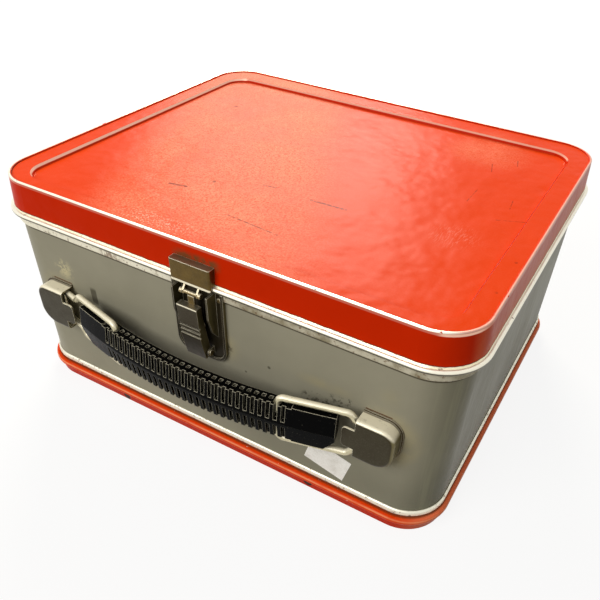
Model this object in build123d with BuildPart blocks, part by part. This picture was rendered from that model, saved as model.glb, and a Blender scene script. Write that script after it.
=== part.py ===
from build123d import *
from math import asin, atan, atan2, cos, degrees, hypot, radians, sin, sqrt
import os

os.makedirs("parts", exist_ok=True)

# A pressed steel lunch box that lies flat, with a vacuum flask inside.
# X runs along the long side, -Y is the front with latch and handle, +Y the hinge side.
# The origin is the middle of the face that the box rests on. All sizes are in millimetres.

# Box
box_length = 216.0
box_width = 180.0
box_height = 105.0
corner_radius = 18.0
sheet = 0.8
bead_roundness = 0.9
body_inset = 0.8
body_rise = 7.2

# Base pan
pan_height = 8.0
pan_rim_height = 3.2
pan_rim_reach = 2.1
pan_foot_reach = 0.5
floor_recess = 1.2
pan_fit = 0.15
pan_ring_width = 1.4
floor_panel_inset = 11.0
foot_bead_bottom = 8.9
foot_bead_height = 3.1
foot_bead_reach = 1.0

# Lid and the ridge below it
lid_depth = 16.2
hem_height = 2.2
hem_reach = 1.5
lid_flare = 1.2
rim_height = 0.6
rim_width = 1.4
rim_round = 0.4
panel_depth = 1.8
panel_radius = 11.0
panel_slope = 30.0
panel_side_border = 9.5
panel_front_border = 7.0
panel_back_border = 12.5
ridge_gap = 0.6
ridge_height = 4.0
ridge_reach = 1.2

# Rivets
rivet_radius = 1.2
rivet_fit = 0.05
rivet_head_radius = 2.2
rivet_head_height = 0.6
small_rivet_radius = 0.6
small_head_radius = 1.1
small_head_height = 0.4
rivet_head_taper = 35.0
countersink = 0.6
countersink_angle = 45.0

# Lid hinges
hinge_offset = 60.0
hinge_width = 30.0
hinge_leaf_sheet = 0.8
hinge_barrel_radius = 1.9
hinge_pin_radius = 0.95
pin_fit = 0.05
hinge_gap = 0.3
hinge_middle_width = 10.0
hinge_leaf_height = 17.0
hinge_side_room = 2.0
hinge_rivet_spacing = 18.0
hinge_rivet_drop = 11.0
lid_leaf_height = 11.0
lid_rivet_rise = 6.0

# Latch on the body
latch_width = 24.4
latch_plate_sheet = 0.9
latch_drop = 1.4
latch_length = 33.9
latch_corner_radius = 6.0
latch_rim_width = 1.1
latch_rim_height = 0.7
cheek_spread = 7.7
cheek_sheet = 0.8
cheek_top_depth = 5.3
cheek_length = 21.4
cheek_straight = 10.0
cheek_knee = 17.0
cheek_knee_depth = 3.4
lug_spread = 5.1
lug_sheet = 0.8
lug_radius = 1.8
lug_height = 3.6
latch_pin_rise = 5.1
latch_pin_depth = 3.3
latch_pin_radius = 0.9
latch_pin_head_radius = 1.3
latch_pin_head = 0.4
latch_rivet_inset = 2.1
latch_rivet_drop = 3.1

# Latch lever
lever_width = 9.6
lever_sheet = 0.8
lever_drop = 5.4
lever_lip_depth = 3.2
lever_lip_lean = 0.8
web_angle = 55.0
lever_front = 7.6
lever_chin = 1.1
lever_chin_height = 2.9
lever_tail_drop = 2.7
lever_tail_face = 1.9
lever_knuckle_radius = 2.0
groove_count = 3
groove_pitch = 2.2
groove_height = 0.7
groove_depth = 0.4
first_groove_rise = 8.4
hook_width = 3.0
hook_sheet = 0.9
hook_gap = 0.4
hook_plate_height = 3.4
spring_coil_radius = 1.3
spring_wire = 0.5
spring_length = 3.4
spring_leg = 5.0

# Catch on the lid
catch_width = 18.8
catch_rise = 0.8
catch_height = 9.2
catch_depth = 4.0
catch_sheet = 0.8
catch_hem_room = 0.3
catch_rivet_offset = 6.2
strike_drop = 2.5
strike_radius = 0.8
strike_knob_radius = 1.2
strike_knob_width = 1.2
strike_arm_offset = 2.9
strike_arm_sheet = 0.8
strike_arm_depth = 1.15
strike_fit = 0.1
strike_lean = 1.9

# Handle brackets
handle_height = 49.5
bracket_inner = 74.0
bracket_outer = 90.0
bracket_height = 20.0
bracket_depth = 7.6
bracket_sheet = 0.8
bracket_corner_radius = 6.0
bracket_foot_radius = 8.0
bracket_round = 1.7
tongue_height = 10.0
tongue_length = 5.3
flange_reach = 0.9
flange_sheet = 0.7
tab_width = 6.0
tab_place = 80.0
tab_length = 3.2
tab_fit = 0.1

# Wire bails and grip
wire_radius = 1.4
bar_gap = 1.8
left_bar_x = -79.5
right_bar_x = 85.5
bar_half_height = 7.2
bail_bend_radius = 2.6
joggle_start = 12.2
joggle_end = 15.2
pivot_spacing = 81.0
pivot_reach = 12.1
tip_length = 4.6
tip_fit = 0.1
grip_gap = 0.35
grip_half_length = 64.5
grip_height = 18.0
grip_thickness = 5.5
grip_ridge = 1.3
grip_reach = 19.2
grip_sagitta = 8.9
grip_end_chamfer = 4.5
slot_count = 29
slot_pitch = 3.18
slot_width = 1.5
slot_depth = 0.8
slot_land = 1.4
slotted_relief = 0.6
pit_size = 1.4
pit_depth = 0.8
pit_inset = 1.4

# Price sticker
sticker_x = 60.1
sticker_z = 22.5
sticker_width = 19.3
sticker_height = 13.2
sticker_turn = -15.0
sticker_thickness = 0.15

# Vacuum flask, lying along Y
flask_side_gap = 4.4
flask_foot_gap = 6.1
flask_cup_gap = 6.3
flask_radius = 34.0
flask_gap = 0.3
flask_base_length = 14.0
flask_base_wall = 1.6
flask_shell_wall = 0.6
shell_lap = 4.0
flask_fit = 0.3
collar_spigot = 4.0
collar_lip = 3.0
collar_wall = 3.0
collar_neck_radius = 29.0
collar_neck_length = 13.0
liner_wall = 3.0
liner_gap = 1.2
liner_slope = 9.0
liner_mouth_radius = 20.5
liner_foot = 7.0
cushion_radius = 14.0
gasket_thickness = 1.6
stopper_seat = 1.0
stopper_fit = 0.4
stopper_depth = 18.0
stopper_flange_radius = 24.0
stopper_flange_height = 3.0
stopper_knob_radius = 15.0
stopper_knob_taper = 1.5
stopper_knob_height = 12.0
cup_length = 43.0
cup_wall = 1.5
cup_fit = 0.4

# Flask clamp
clamp_wire_radius = 1.25
clamp_bend_swell = 0.1
clamp_gap = 0.5
clamp_arm_offset = 30.0
clamp_pivot_height = 6.0
clamp_wrap = 120.0
clamp_tip = 6.0
clamp_tip_fit = 0.1
ear_sheet = 1.0
ear_width = 9.0
ear_foot = 10.0
ear_gap = 0.4
ear_rivet_inset = 3.2

# Worked out from the sizes above
half_width = box_width / 2
hem_bottom = box_height - lid_depth
body_top = hem_bottom + body_rise
border_height = box_height - rim_height
panel_height = border_height - panel_depth
lid_drop = border_height - hem_bottom
flare_angle = degrees(atan(lid_flare / lid_drop))
wall_face = half_width - body_inset
wall_inside = wall_face - sheet
ridge_top = hem_bottom - ridge_gap
floor_top = floor_recess + sheet
hinge_axis_y = half_width + lid_flare + hinge_gap + hinge_barrel_radius
hinge_axis_z = hem_bottom - hinge_gap
latch_top = hem_bottom - latch_drop
latch_bottom = latch_top - latch_length
cheek_bottom = latch_top - cheek_length
latch_pin_height = latch_bottom + latch_pin_rise
latch_pin_y = wall_face + latch_pin_depth
lever_top = latch_top - lever_drop
first_groove = latch_pin_height + first_groove_rise
catch_bottom = hem_bottom + catch_rise
catch_top = catch_bottom + catch_height
strike_height = hem_bottom - strike_drop
lever_face = wall_face + lever_front
strike_y = wall_face + catch_depth + strike_radius
grip_centre_x = (left_bar_x + right_bar_x) / 2
bar_y = -(wall_face + bar_gap)
pivot_y = -(wall_face + pivot_reach)
grip_apex = -(wall_face + grip_reach)
bail_run = grip_centre_x - pivot_spacing / 2 - left_bar_x
bail_angle = degrees(atan2(bar_y - pivot_y, bail_run))
bail_reach = hypot(bail_run, bar_y - pivot_y)
leg_half_height = grip_height / 2 + grip_gap + wire_radius
grip_arc_radius = (grip_half_length ** 2 + grip_sagitta ** 2) / (2 * grip_sagitta)
slot_span = (slot_count - 1) * slot_pitch
slot_reach = grip_ridge + slot_depth
flask_x = box_length / 2 - body_inset - sheet - flask_side_gap - flask_radius
flask_foot = flask_foot_gap - wall_inside
flask_axis_z = floor_top + flask_gap + flask_radius
shell_start = flask_base_length - shell_lap
shell_end = wall_inside - flask_cup_gap - cup_length - cup_fit - collar_lip - flask_foot
clamp_loop = flask_radius + clamp_gap + clamp_wire_radius
clamp_x = flask_x - clamp_loop


def plan(grow, mode=Mode.ADD):
    """Plan outline of the box, grown outwards from the lid's rim."""
    return RectangleRounded(box_length + 2 * grow, box_width + 2 * grow, corner_radius + grow, mode=mode)


def ring(bottom, height, outer, inner, mode=Mode.ADD):
    """Wall that follows the plan outline between two offsets."""
    with BuildSketch(Plane.XY.offset(bottom)) as outline:
        plan(outer)
        plan(inner, mode=Mode.SUBTRACT)
    extrude(outline.sketch, amount=height, mode=mode)


def rolled_bead(bottom, height, outer, inner):
    """Closed bead round the box with a rounded outer face."""
    with BuildPart() as bead:
        with BuildSketch(Plane.XY.offset(bottom)):
            plan(outer)
        extrude(amount=height)
        ends = bead.faces().filter_by(Axis.Z)
        fillet(ends.edges(), radius=min(height / 2, outer - inner) * bead_roundness)
        with BuildSketch(Plane.XY.offset(bottom)):
            plan(inner)
        extrude(amount=height, mode=Mode.SUBTRACT)
    return bead.part


def lid_offset(height):
    """Offset of the lid's flared band from its rim at a height."""
    return lid_flare * (border_height - height) / lid_drop


def side_block(points, low, high, mode=Mode.ADD):
    """Solid with a side profile given as y and z, between two places along X."""
    with BuildSketch(Plane.YZ.offset(low)) as outline:
        with BuildLine():
            Polyline(*points, close=True)
        make_face()
    extrude(outline.sketch, amount=high - low, mode=mode)


def mirrored_blocks(points, inner, outer):
    """The same side profile on the left and on the right of the middle."""
    side_block(points, inner, outer)
    side_block(points, -outer, -inner)


def wall_plane(x, z, side, face, tilt=0.0):
    """Plane on the front wall for side -1 or the rear wall for side 1, looking outwards."""
    normal = (0, side * cos(radians(tilt)), sin(radians(tilt)))
    return Plane(origin=(x, side * face, z), x_dir=(1, 0, 0), z_dir=normal)


def disc(plane, radius, length, taper=0.0, mode=Mode.ADD):
    """Round solid that stands on a plane."""
    with BuildSketch(plane) as outline:
        Circle(radius)
    extrude(outline.sketch, amount=length, taper=taper, mode=mode)


def cross_rod(low, high, centre, radius, mode=Mode.ADD):
    """Round solid along X between two places, round a centre given as y and z."""
    disc(Plane(origin=(low, *centre), x_dir=(0, 1, 0), z_dir=(1, 0, 0)), radius, high - low, mode=mode)


def rivet(plane, grip, radius, head_radius, head_height):
    """Rivet with its outer head on the plane and its inner head a grip below it."""
    disc(plane, head_radius, head_height, taper=rivet_head_taper)
    disc(plane, radius, -grip)
    disc(plane.offset(-grip), head_radius, -head_height, taper=rivet_head_taper)


def rivet_hole(plane, radius, depth):
    """Hole for a rivet, from a little outside the plane to a depth below it."""
    disc(plane.offset(depth), radius + rivet_fit, -2 * depth, mode=Mode.SUBTRACT)


def finish(piece, name):
    """Name a finished piece and write it to its file."""
    piece.part.label = name
    export_step(piece.part, f"parts/{name}.step")


# Places of the fasteners
hinge_centres = (-hinge_offset, hinge_offset)
body_leaf_top = hinge_axis_z - hinge_barrel_radius + hinge_leaf_sheet
body_leaf_face = wall_face + hinge_leaf_sheet
body_hinge_rivets = [
    wall_plane(centre + step * hinge_rivet_spacing / 2, hinge_axis_z - hinge_rivet_drop, 1, body_leaf_face)
    for centre in hinge_centres
    for step in (-1, 1)
]
lid_leaf_bottom = hinge_axis_z + hinge_barrel_radius + hinge_gap
lid_rivet_height = lid_leaf_bottom + lid_rivet_rise
lid_leaf_skin = hinge_leaf_sheet / cos(radians(flare_angle))
lid_hinge_rivets = [
    wall_plane(
        centre + step * hinge_rivet_spacing / 2,
        lid_rivet_height,
        1,
        half_width + lid_offset(lid_rivet_height) + lid_leaf_skin,
        flare_angle,
    )
    for centre in hinge_centres
    for step in (-1, 1)
]
latch_face = wall_face + latch_plate_sheet
latch_rivets_at = [
    wall_plane(side * (latch_width / 2 - latch_rivet_inset), latch_top - latch_rivet_drop, -1, latch_face)
    for side in (-1, 1)
]
latch_rivets_at.append(wall_plane(0, cheek_bottom + latch_rivet_drop, -1, latch_face))
catch_rivet_height = (catch_bottom + catch_top) / 2 + catch_hem_room
catch_back = half_width + lid_offset(catch_rivet_height) + catch_sheet / cos(radians(flare_angle))
catch_rivets_at = [
    wall_plane(side * catch_rivet_offset, catch_rivet_height, -1, catch_back, flare_angle)
    for side in (-1, 1)
]
bracket_tabs = [
    (side * tab_place, handle_height + up * (bracket_height - bracket_sheet) / 2, up)
    for side in (-1, 1)
    for up in (-1, 1)
]


def ear_rivet_plane(side):
    """Plane on the foot of a clamp ear, where its rivet's head sits."""
    ear_rivet_y = side * (clamp_arm_offset + clamp_wire_radius + ear_gap + ear_foot - ear_rivet_inset)
    return Plane(origin=(clamp_x, ear_rivet_y, sheet + ear_sheet))


# Body band: the grey wall, with the ridge under the lid and the bead above the base pan
ridge = rolled_bead(ridge_top - ridge_height, ridge_height, ridge_reach - body_inset, -body_inset)
foot_bead = rolled_bead(foot_bead_bottom, foot_bead_height, foot_bead_reach - body_inset, -body_inset)
with BuildPart() as body_band:
    ring(floor_top, body_top - floor_top, -body_inset, -body_inset - sheet)
    add(ridge)
    add(foot_bead)
    ridge_middle = ridge_top - ridge_height / 2
    notch_depth = 2 * ridge_reach
    for centre in hinge_centres:
        with Locations((centre, wall_face + notch_depth / 2, ridge_middle)):
            Box(
                hinge_width + hinge_side_room,
                notch_depth,
                ridge_height + ridge_gap,
                mode=Mode.SUBTRACT,
            )
    with Locations((0, -wall_face - notch_depth / 2, ridge_middle)):
        Box(latch_width + hinge_gap * 2, notch_depth, ridge_height + ridge_gap, mode=Mode.SUBTRACT)
    for plane in body_hinge_rivets + latch_rivets_at[2:]:
        rivet_hole(plane, rivet_radius, 2 * sheet + hinge_leaf_sheet)
    for plane in latch_rivets_at[:2]:
        rivet_hole(plane, small_rivet_radius, 2 * sheet + hinge_leaf_sheet)
    for tab_x, tab_z, up in bracket_tabs:
        with Locations((tab_x, -wall_face, tab_z)):
            Box(tab_width + tab_fit, 4 * sheet, bracket_sheet + tab_fit, mode=Mode.SUBTRACT)
finish(body_band, "body_band")

# Base pan: rolled rim, tapered foot and a floor whose middle panel is the resting face
pan_rim_bottom = pan_height - pan_rim_height
pan_rim = rolled_bead(pan_rim_bottom, pan_rim_height, pan_rim_reach, pan_fit - body_inset)
pan_foot_taper = degrees(atan(pan_foot_reach / pan_rim_bottom))
with BuildPart() as base_pan:
    with BuildSketch():
        plan(0)
    extrude(amount=pan_height - pan_rim_height / 2, taper=-pan_foot_taper)
    add(pan_rim)
    with BuildSketch(Plane.XY.offset(floor_top)):
        plan(pan_fit - body_inset)
    extrude(amount=pan_height, mode=Mode.SUBTRACT)
    with BuildSketch(Plane.XY.offset(sheet)):
        plan(-floor_panel_inset - sheet)
    extrude(amount=pan_height, mode=Mode.SUBTRACT)
    ring(0, floor_recess, -pan_ring_width, -floor_panel_inset, mode=Mode.SUBTRACT)
    for side in (-1, 1):
        ear_rivet_at = ear_rivet_plane(side)
        rivet_hole(ear_rivet_at, rivet_radius, 2 * sheet + ear_sheet)
        underside = ear_rivet_at.offset(-sheet - ear_sheet)
        sunk_radius = rivet_radius + countersink
        disc(underside, sunk_radius + rivet_fit, countersink, taper=countersink_angle, mode=Mode.SUBTRACT)
finish(base_pan, "base_pan")

# Lid: pressed shell with a hem bead, a raised rim and a recessed top panel
hem = rolled_bead(hem_bottom, hem_height, lid_flare + hem_reach, lid_flare - sheet)
panel_length = box_length - 2 * panel_side_border
panel_width = box_width - panel_front_border - panel_back_border
panel_shift = (panel_front_border - panel_back_border) / 2
with BuildPart() as lid:
    with BuildSketch(Plane.XY.offset(hem_bottom)):
        plan(lid_flare)
    extrude(amount=lid_drop, taper=flare_angle)
    add(hem)
    ring(border_height, rim_height, 0, -rim_width)
    rim_edges = lid.edges().group_by(Axis.Z)[-1]
    fillet(rim_edges, radius=rim_round)
    with BuildSketch(Plane.XY.offset(border_height)):
        with Locations((0, panel_shift)):
            RectangleRounded(panel_length, panel_width, panel_radius)
    extrude(amount=-panel_depth, taper=panel_slope, mode=Mode.SUBTRACT)
    with BuildSketch(Plane.XY.offset(hem_bottom)):
        plan(lid_flare - sheet)
    extrude(amount=panel_height - sheet - hem_bottom, taper=flare_angle, mode=Mode.SUBTRACT)
    with BuildSketch(Plane.XY.offset(panel_height - sheet)):
        plan(-sheet)
        with Locations((0, panel_shift)):
            RectangleRounded(
                panel_length + 2 * sheet,
                panel_width + 2 * sheet,
                panel_radius + sheet,
                mode=Mode.SUBTRACT,
            )
    extrude(amount=panel_depth, mode=Mode.SUBTRACT)
    notch_low = hem_bottom - hinge_gap
    notch_high = hem_bottom + hem_height + hinge_gap
    hem_notch = [
        (half_width + lid_offset(notch_low), notch_low),
        (half_width + lid_flare + 2 * hem_reach, notch_low),
        (half_width + lid_flare + 2 * hem_reach, notch_high),
        (half_width + lid_offset(notch_high), notch_high),
    ]
    notch_half = (hinge_width + hinge_side_room) / 2
    for centre in hinge_centres:
        side_block(hem_notch, centre - notch_half, centre + notch_half, mode=Mode.SUBTRACT)
    front_notch = [(-y, z) for y, z in hem_notch]
    notch_half = strike_arm_offset + strike_arm_sheet + hinge_gap
    side_block(front_notch, -notch_half, notch_half, mode=Mode.SUBTRACT)
    for plane in lid_hinge_rivets + catch_rivets_at:
        rivet_hole(plane, rivet_radius, 2 * sheet)
finish(lid, "lid")

# Lid hinges: bent leaves with rolled knuckles on a pin
barrel_centre = (hinge_axis_y, hinge_axis_z)
side_knuckle = (hinge_width - hinge_middle_width) / 2 - hinge_gap
knuckle_bottom = hinge_axis_z - hinge_barrel_radius
knuckle_top = hinge_axis_z + hinge_barrel_radius
with BuildPart() as hinge_leaves_body:
    for centre in hinge_centres:
        low = centre - hinge_width / 2
        high = centre + hinge_width / 2
        side_block(
            [
                (wall_face, body_leaf_top - hinge_leaf_height),
                (body_leaf_face, body_leaf_top - hinge_leaf_height),
                (body_leaf_face, body_leaf_top),
                (wall_face, body_leaf_top),
            ],
            low,
            high,
        )
        for start, end in ((low, low + side_knuckle), (high - side_knuckle, high)):
            side_block(
                [
                    (wall_face, knuckle_bottom),
                    (hinge_axis_y, knuckle_bottom),
                    (hinge_axis_y, body_leaf_top),
                    (wall_face, body_leaf_top),
                ],
                start,
                end,
            )
            cross_rod(start, end, barrel_centre, hinge_barrel_radius)
        cross_rod(low, high, barrel_centre, hinge_pin_radius + pin_fit, mode=Mode.SUBTRACT)
    for plane in body_hinge_rivets:
        rivet_hole(plane, rivet_radius, 2 * sheet)
finish(hinge_leaves_body, "hinge_leaves_body")

lid_leaf_end = lid_leaf_bottom + lid_leaf_height
with BuildPart() as hinge_leaves_lid:
    for centre in hinge_centres:
        band_low = half_width + lid_offset(lid_leaf_bottom)
        band_high = half_width + lid_offset(lid_leaf_end)
        side_block(
            [
                (band_low, lid_leaf_bottom),
                (band_low + lid_leaf_skin, lid_leaf_bottom),
                (band_high + lid_leaf_skin, lid_leaf_end),
                (band_high, lid_leaf_end),
            ],
            centre - hinge_width / 2,
            centre + hinge_width / 2,
        )
        neck_low = knuckle_top - hinge_leaf_sheet
        side_block(
            [
                (half_width + lid_offset(neck_low), neck_low),
                (hinge_axis_y, neck_low),
                (hinge_axis_y, knuckle_top),
                (band_low + lid_leaf_skin, lid_leaf_bottom),
                (band_low, lid_leaf_bottom),
            ],
            centre - hinge_middle_width / 2,
            centre + hinge_middle_width / 2,
        )
        low = centre - hinge_middle_width / 2
        high = centre + hinge_middle_width / 2
        cross_rod(low, high, barrel_centre, hinge_barrel_radius)
        cross_rod(low, high, barrel_centre, hinge_pin_radius + pin_fit, mode=Mode.SUBTRACT)
    for plane in lid_hinge_rivets:
        rivet_hole(plane, rivet_radius, 2 * sheet)
finish(hinge_leaves_lid, "hinge_leaves_lid")

with BuildPart() as hinge_pins:
    for centre in hinge_centres:
        cross_rod(centre - hinge_width / 2, centre + hinge_width / 2, barrel_centre, hinge_pin_radius)
finish(hinge_pins, "hinge_pins")

with BuildPart() as hinge_rivets_body:
    for plane in body_hinge_rivets:
        rivet(plane, sheet + hinge_leaf_sheet, rivet_radius, rivet_head_radius, rivet_head_height)
finish(hinge_rivets_body, "hinge_rivets_body")

with BuildPart() as hinge_rivets_lid:
    for plane in lid_hinge_rivets:
        rivet(plane, sheet + hinge_leaf_sheet, rivet_radius, rivet_head_radius, rivet_head_height)
finish(hinge_rivets_lid, "hinge_rivets_lid")


# Latch plate: riveted to the front wall, with a raised rim, two cheeks and two lugs
def latch_outline(inset, mode=Mode.ADD):
    """Outline of the latch plate, square at the top and round at the bottom."""
    half = latch_width / 2 - inset
    corner = latch_corner_radius - inset
    with BuildLine() as edge:
        Line((-half, latch_top), (half, latch_top))
        Line((half, latch_top), (half, latch_bottom + latch_corner_radius))
        RadiusArc((half, latch_bottom + latch_corner_radius), (half - corner, latch_bottom + inset), corner)
        Line((half - corner, latch_bottom + inset), (corner - half, latch_bottom + inset))
        RadiusArc((corner - half, latch_bottom + inset), (-half, latch_bottom + latch_corner_radius), corner)
        Line((-half, latch_bottom + latch_corner_radius), (-half, latch_top))
    make_face(edge.edges(), mode=mode)


pin_point = (-latch_pin_y, latch_pin_height)
with BuildPart() as latch_plate:
    with BuildSketch(Plane.XZ.offset(wall_face)):
        latch_outline(0)
    extrude(amount=latch_plate_sheet)
    with BuildSketch(Plane.XZ.offset(latch_face)):
        latch_outline(0)
        latch_outline(latch_rim_width, mode=Mode.SUBTRACT)
    extrude(amount=latch_rim_height)
    mirrored_blocks(
        [
            (-latch_face, latch_top),
            (-latch_face - cheek_top_depth, latch_top),
            (-latch_face - cheek_top_depth, latch_top - cheek_straight),
            (-latch_face - cheek_knee_depth, latch_top - cheek_knee),
            (-latch_face, cheek_bottom),
        ],
        cheek_spread,
        cheek_spread + cheek_sheet,
    )
    mirrored_blocks(
        [
            (-latch_face, latch_pin_height + lug_height / 2),
            (-latch_pin_y, latch_pin_height + lug_height / 2),
            (-latch_pin_y, latch_pin_height - lug_height / 2),
            (-latch_face, latch_pin_height - lug_height / 2),
        ],
        lug_spread,
        lug_spread + lug_sheet,
    )
    lug_outer = lug_spread + lug_sheet
    for low in (-lug_outer, lug_spread):
        cross_rod(low, low + lug_sheet, pin_point, lug_radius)
    cross_rod(-lug_outer, lug_outer, pin_point, latch_pin_radius + pin_fit, mode=Mode.SUBTRACT)
    for plane in latch_rivets_at[:2]:
        rivet_hole(plane, small_rivet_radius, 2 * sheet)
    rivet_hole(latch_rivets_at[2], rivet_radius, 2 * sheet)
finish(latch_plate, "latch_plate")

with BuildPart() as latch_pin:
    cross_rod(-lug_outer, lug_outer, pin_point, latch_pin_radius)
    for low in (-lug_outer - latch_pin_head, lug_outer):
        cross_rod(low, low + latch_pin_head, pin_point, latch_pin_head_radius)
finish(latch_pin, "latch_pin")

with BuildPart() as latch_rivets:
    for plane in latch_rivets_at[:2]:
        rivet(plane, sheet + latch_plate_sheet, small_rivet_radius, small_head_radius, small_head_height)
    rivet(
        latch_rivets_at[2],
        sheet + latch_plate_sheet,
        rivet_radius,
        rivet_head_radius,
        rivet_head_height,
    )
finish(latch_rivets, "latch_rivets")

# Latch lever: folded from sheet, with a lip on top and webs that turn on the pin
lip_face = lever_face + lever_lip_lean
lip_back = lip_face - lever_lip_depth
chin_face = lever_face - lever_chin
chin_z = latch_pin_height + lever_chin_height
tail_face = latch_pin_y + lever_tail_face
tail_z = latch_pin_height - lever_tail_drop
knuckle_y = -latch_pin_y
hook_foot = lever_top - lever_sheet - hook_plate_height
web_turn = radians(web_angle)
web_back = (
    knuckle_y + lever_knuckle_radius * cos(web_turn),
    latch_pin_height + lever_knuckle_radius * sin(web_turn),
)
with BuildPart() as latch_lever:
    with BuildSketch(Plane.YZ.offset(-lever_width / 2)):
        with BuildLine():
            Line((-lip_back, lever_top), (-lip_face, lever_top))
            Line((-lip_face, lever_top), (-lever_face, first_groove))
            ThreePointArc((-lever_face, first_groove), (-chin_face, chin_z), (-tail_face, tail_z))
            Line((-tail_face, tail_z), (knuckle_y, latch_pin_height - lever_knuckle_radius))
            ThreePointArc(
                (knuckle_y, latch_pin_height - lever_knuckle_radius),
                (knuckle_y + lever_knuckle_radius, latch_pin_height),
                web_back,
            )
            Line(web_back, (-lip_back, hook_foot))
            Line((-lip_back, hook_foot), (-lip_back, lever_top))
        make_face()
    extrude(amount=lever_width)
    inside = lever_width / 2 - lever_sheet
    side_block(
        [
            (lever_sheet - lip_face, lever_top - lever_sheet),
            (lever_sheet - lever_face, first_groove),
            (lever_sheet - chin_face, chin_z),
            (lever_sheet - tail_face, tail_z + lever_sheet),
            (2 * lever_knuckle_radius - latch_pin_y, tail_z + lever_sheet),
            (2 * lever_knuckle_radius - latch_pin_y, lever_top - lever_sheet),
        ],
        -inside,
        inside,
        mode=Mode.SUBTRACT,
    )
    side_block(
        [
            (lever_sheet - lip_face, lever_top),
            (-lip_back, lever_top),
            (-lip_back, lever_top - lever_sheet / 2),
            (lever_sheet - lip_face, lever_top - lever_sheet / 2),
        ],
        -inside,
        inside,
        mode=Mode.SUBTRACT,
    )
    for index in range(groove_count):
        groove_z = first_groove + (index + 1 / 2) * groove_pitch
        with Locations((0, -lever_face, groove_z)):
            Box(lever_width, 2 * groove_depth, groove_height, mode=Mode.SUBTRACT)
    half_lever = lever_width / 2
    cross_rod(-half_lever, half_lever, pin_point, latch_pin_radius + pin_fit, mode=Mode.SUBTRACT)
finish(latch_lever, "latch_lever")

# Latch hook: a stem behind the lip that stands under the strike bar
hook_back = lip_back - hook_sheet
hook_top = strike_height - strike_radius - hook_gap
plate_top = lever_top - lever_sheet
with BuildPart() as latch_hook:
    side_block(
        [
            (-hook_back, hook_top),
            (-lip_back, hook_top),
            (-lip_back, hook_foot),
            (-hook_back, hook_foot),
        ],
        -hook_width / 2,
        hook_width / 2,
    )
    side_block(
        [
            (-hook_back, plate_top),
            (-lip_back, plate_top),
            (-lip_back, hook_foot),
            (-hook_back, hook_foot),
        ],
        -inside,
        inside,
    )
finish(latch_hook, "latch_hook")

# Latch spring: coil round the pin with one leg on the plate and one towards the lever
coil_outer = spring_coil_radius + spring_wire / 2
coil_inner = spring_coil_radius - spring_wire / 2
leg_bottom = latch_pin_height
leg_on_plate = -latch_face
with BuildPart() as latch_spring:
    with BuildSketch(Plane.YZ.offset(-spring_length / 2)):
        with Locations(pin_point):
            Circle(coil_outer)
            Circle(coil_inner, mode=Mode.SUBTRACT)
    extrude(amount=spring_length)
    side_block(
        [
            (leg_on_plate, leg_bottom),
            (leg_on_plate - spring_wire, leg_bottom),
            (leg_on_plate - spring_wire, leg_bottom + spring_leg),
            (leg_on_plate, leg_bottom + spring_leg),
        ],
        -spring_length / 2,
        -spring_length / 2 + spring_wire,
    )
    side_block(
        [
            (leg_on_plate, leg_bottom - spring_wire),
            (-latch_pin_y + coil_inner, leg_bottom - spring_wire),
            (-latch_pin_y + coil_inner, leg_bottom + spring_wire),
            (leg_on_plate, leg_bottom + spring_wire),
        ],
        -spring_length / 2,
        -spring_length / 2 + spring_wire,
    )
finish(latch_spring, "latch_spring")

# Latch catch: box-shaped head on the lid, open at the bottom and clear of the hem
catch_front = wall_face + catch_depth + sheet
hem_clear = half_width + lid_flare + hem_reach + catch_hem_room
over_hem = hem_bottom + hem_height + catch_hem_room


def band_face(height, out=0.0):
    """Place of the lid's front face at a height, as a y value."""
    return -(half_width + lid_offset(height) + out)


catch_skin = catch_sheet / cos(radians(flare_angle))
with BuildPart() as latch_catch:
    side_block(
        [
            (band_face(catch_top), catch_top),
            (-catch_front, catch_top),
            (-catch_front, catch_bottom),
            (-hem_clear, catch_bottom),
            (-hem_clear, over_hem),
            (band_face(over_hem), over_hem),
        ],
        -catch_width / 2,
        catch_width / 2,
    )
    front_edges = latch_catch.faces().sort_by(Axis.Y)[0].edges()
    fillet(front_edges.filter_by(Axis.Z), radius=catch_sheet)
    catch_inside = catch_width / 2 - catch_sheet
    catch_ceiling = catch_top - catch_sheet
    side_block(
        [
            (band_face(catch_ceiling, catch_skin), catch_ceiling),
            (catch_sheet - catch_front, catch_ceiling),
            (catch_sheet - catch_front, catch_bottom),
            (band_face(catch_bottom, catch_skin), catch_bottom),
        ],
        -catch_inside,
        catch_inside,
        mode=Mode.SUBTRACT,
    )
    for plane in catch_rivets_at:
        rivet_hole(plane, rivet_radius, 2 * sheet)
finish(latch_catch, "latch_catch")

with BuildPart() as catch_rivets:
    for plane in catch_rivets_at:
        rivet(plane, sheet + catch_sheet, rivet_radius, rivet_head_radius, small_head_height)
finish(catch_rivets, "catch_rivets")

# Latch strike: two arms under the head that carry a spool-shaped bar
arm_front = catch_front - catch_sheet - strike_fit
arm_back = arm_front - strike_arm_depth
strike_foot = strike_height - strike_radius
arm_inner = strike_arm_offset
arm_outer = strike_arm_offset + strike_arm_sheet
with BuildPart() as latch_strike:
    mirrored_blocks(
        [
            (-arm_back, catch_ceiling),
            (-arm_front, catch_ceiling),
            (-arm_front, catch_bottom - hinge_gap),
            (-strike_y - strike_radius, strike_height + strike_radius),
            (-strike_y - strike_radius, strike_foot),
            (-strike_y + strike_radius, strike_foot),
            (-arm_back, catch_bottom - hinge_gap - strike_lean),
        ],
        arm_inner,
        arm_outer,
    )
    strike_point = (-strike_y, strike_height)
    cross_rod(-arm_outer, arm_outer, strike_point, strike_radius)
    for low in (-arm_outer - strike_knob_width, arm_outer):
        cross_rod(low, low + strike_knob_width, strike_point, strike_knob_radius)
finish(latch_strike, "latch_strike")


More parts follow.
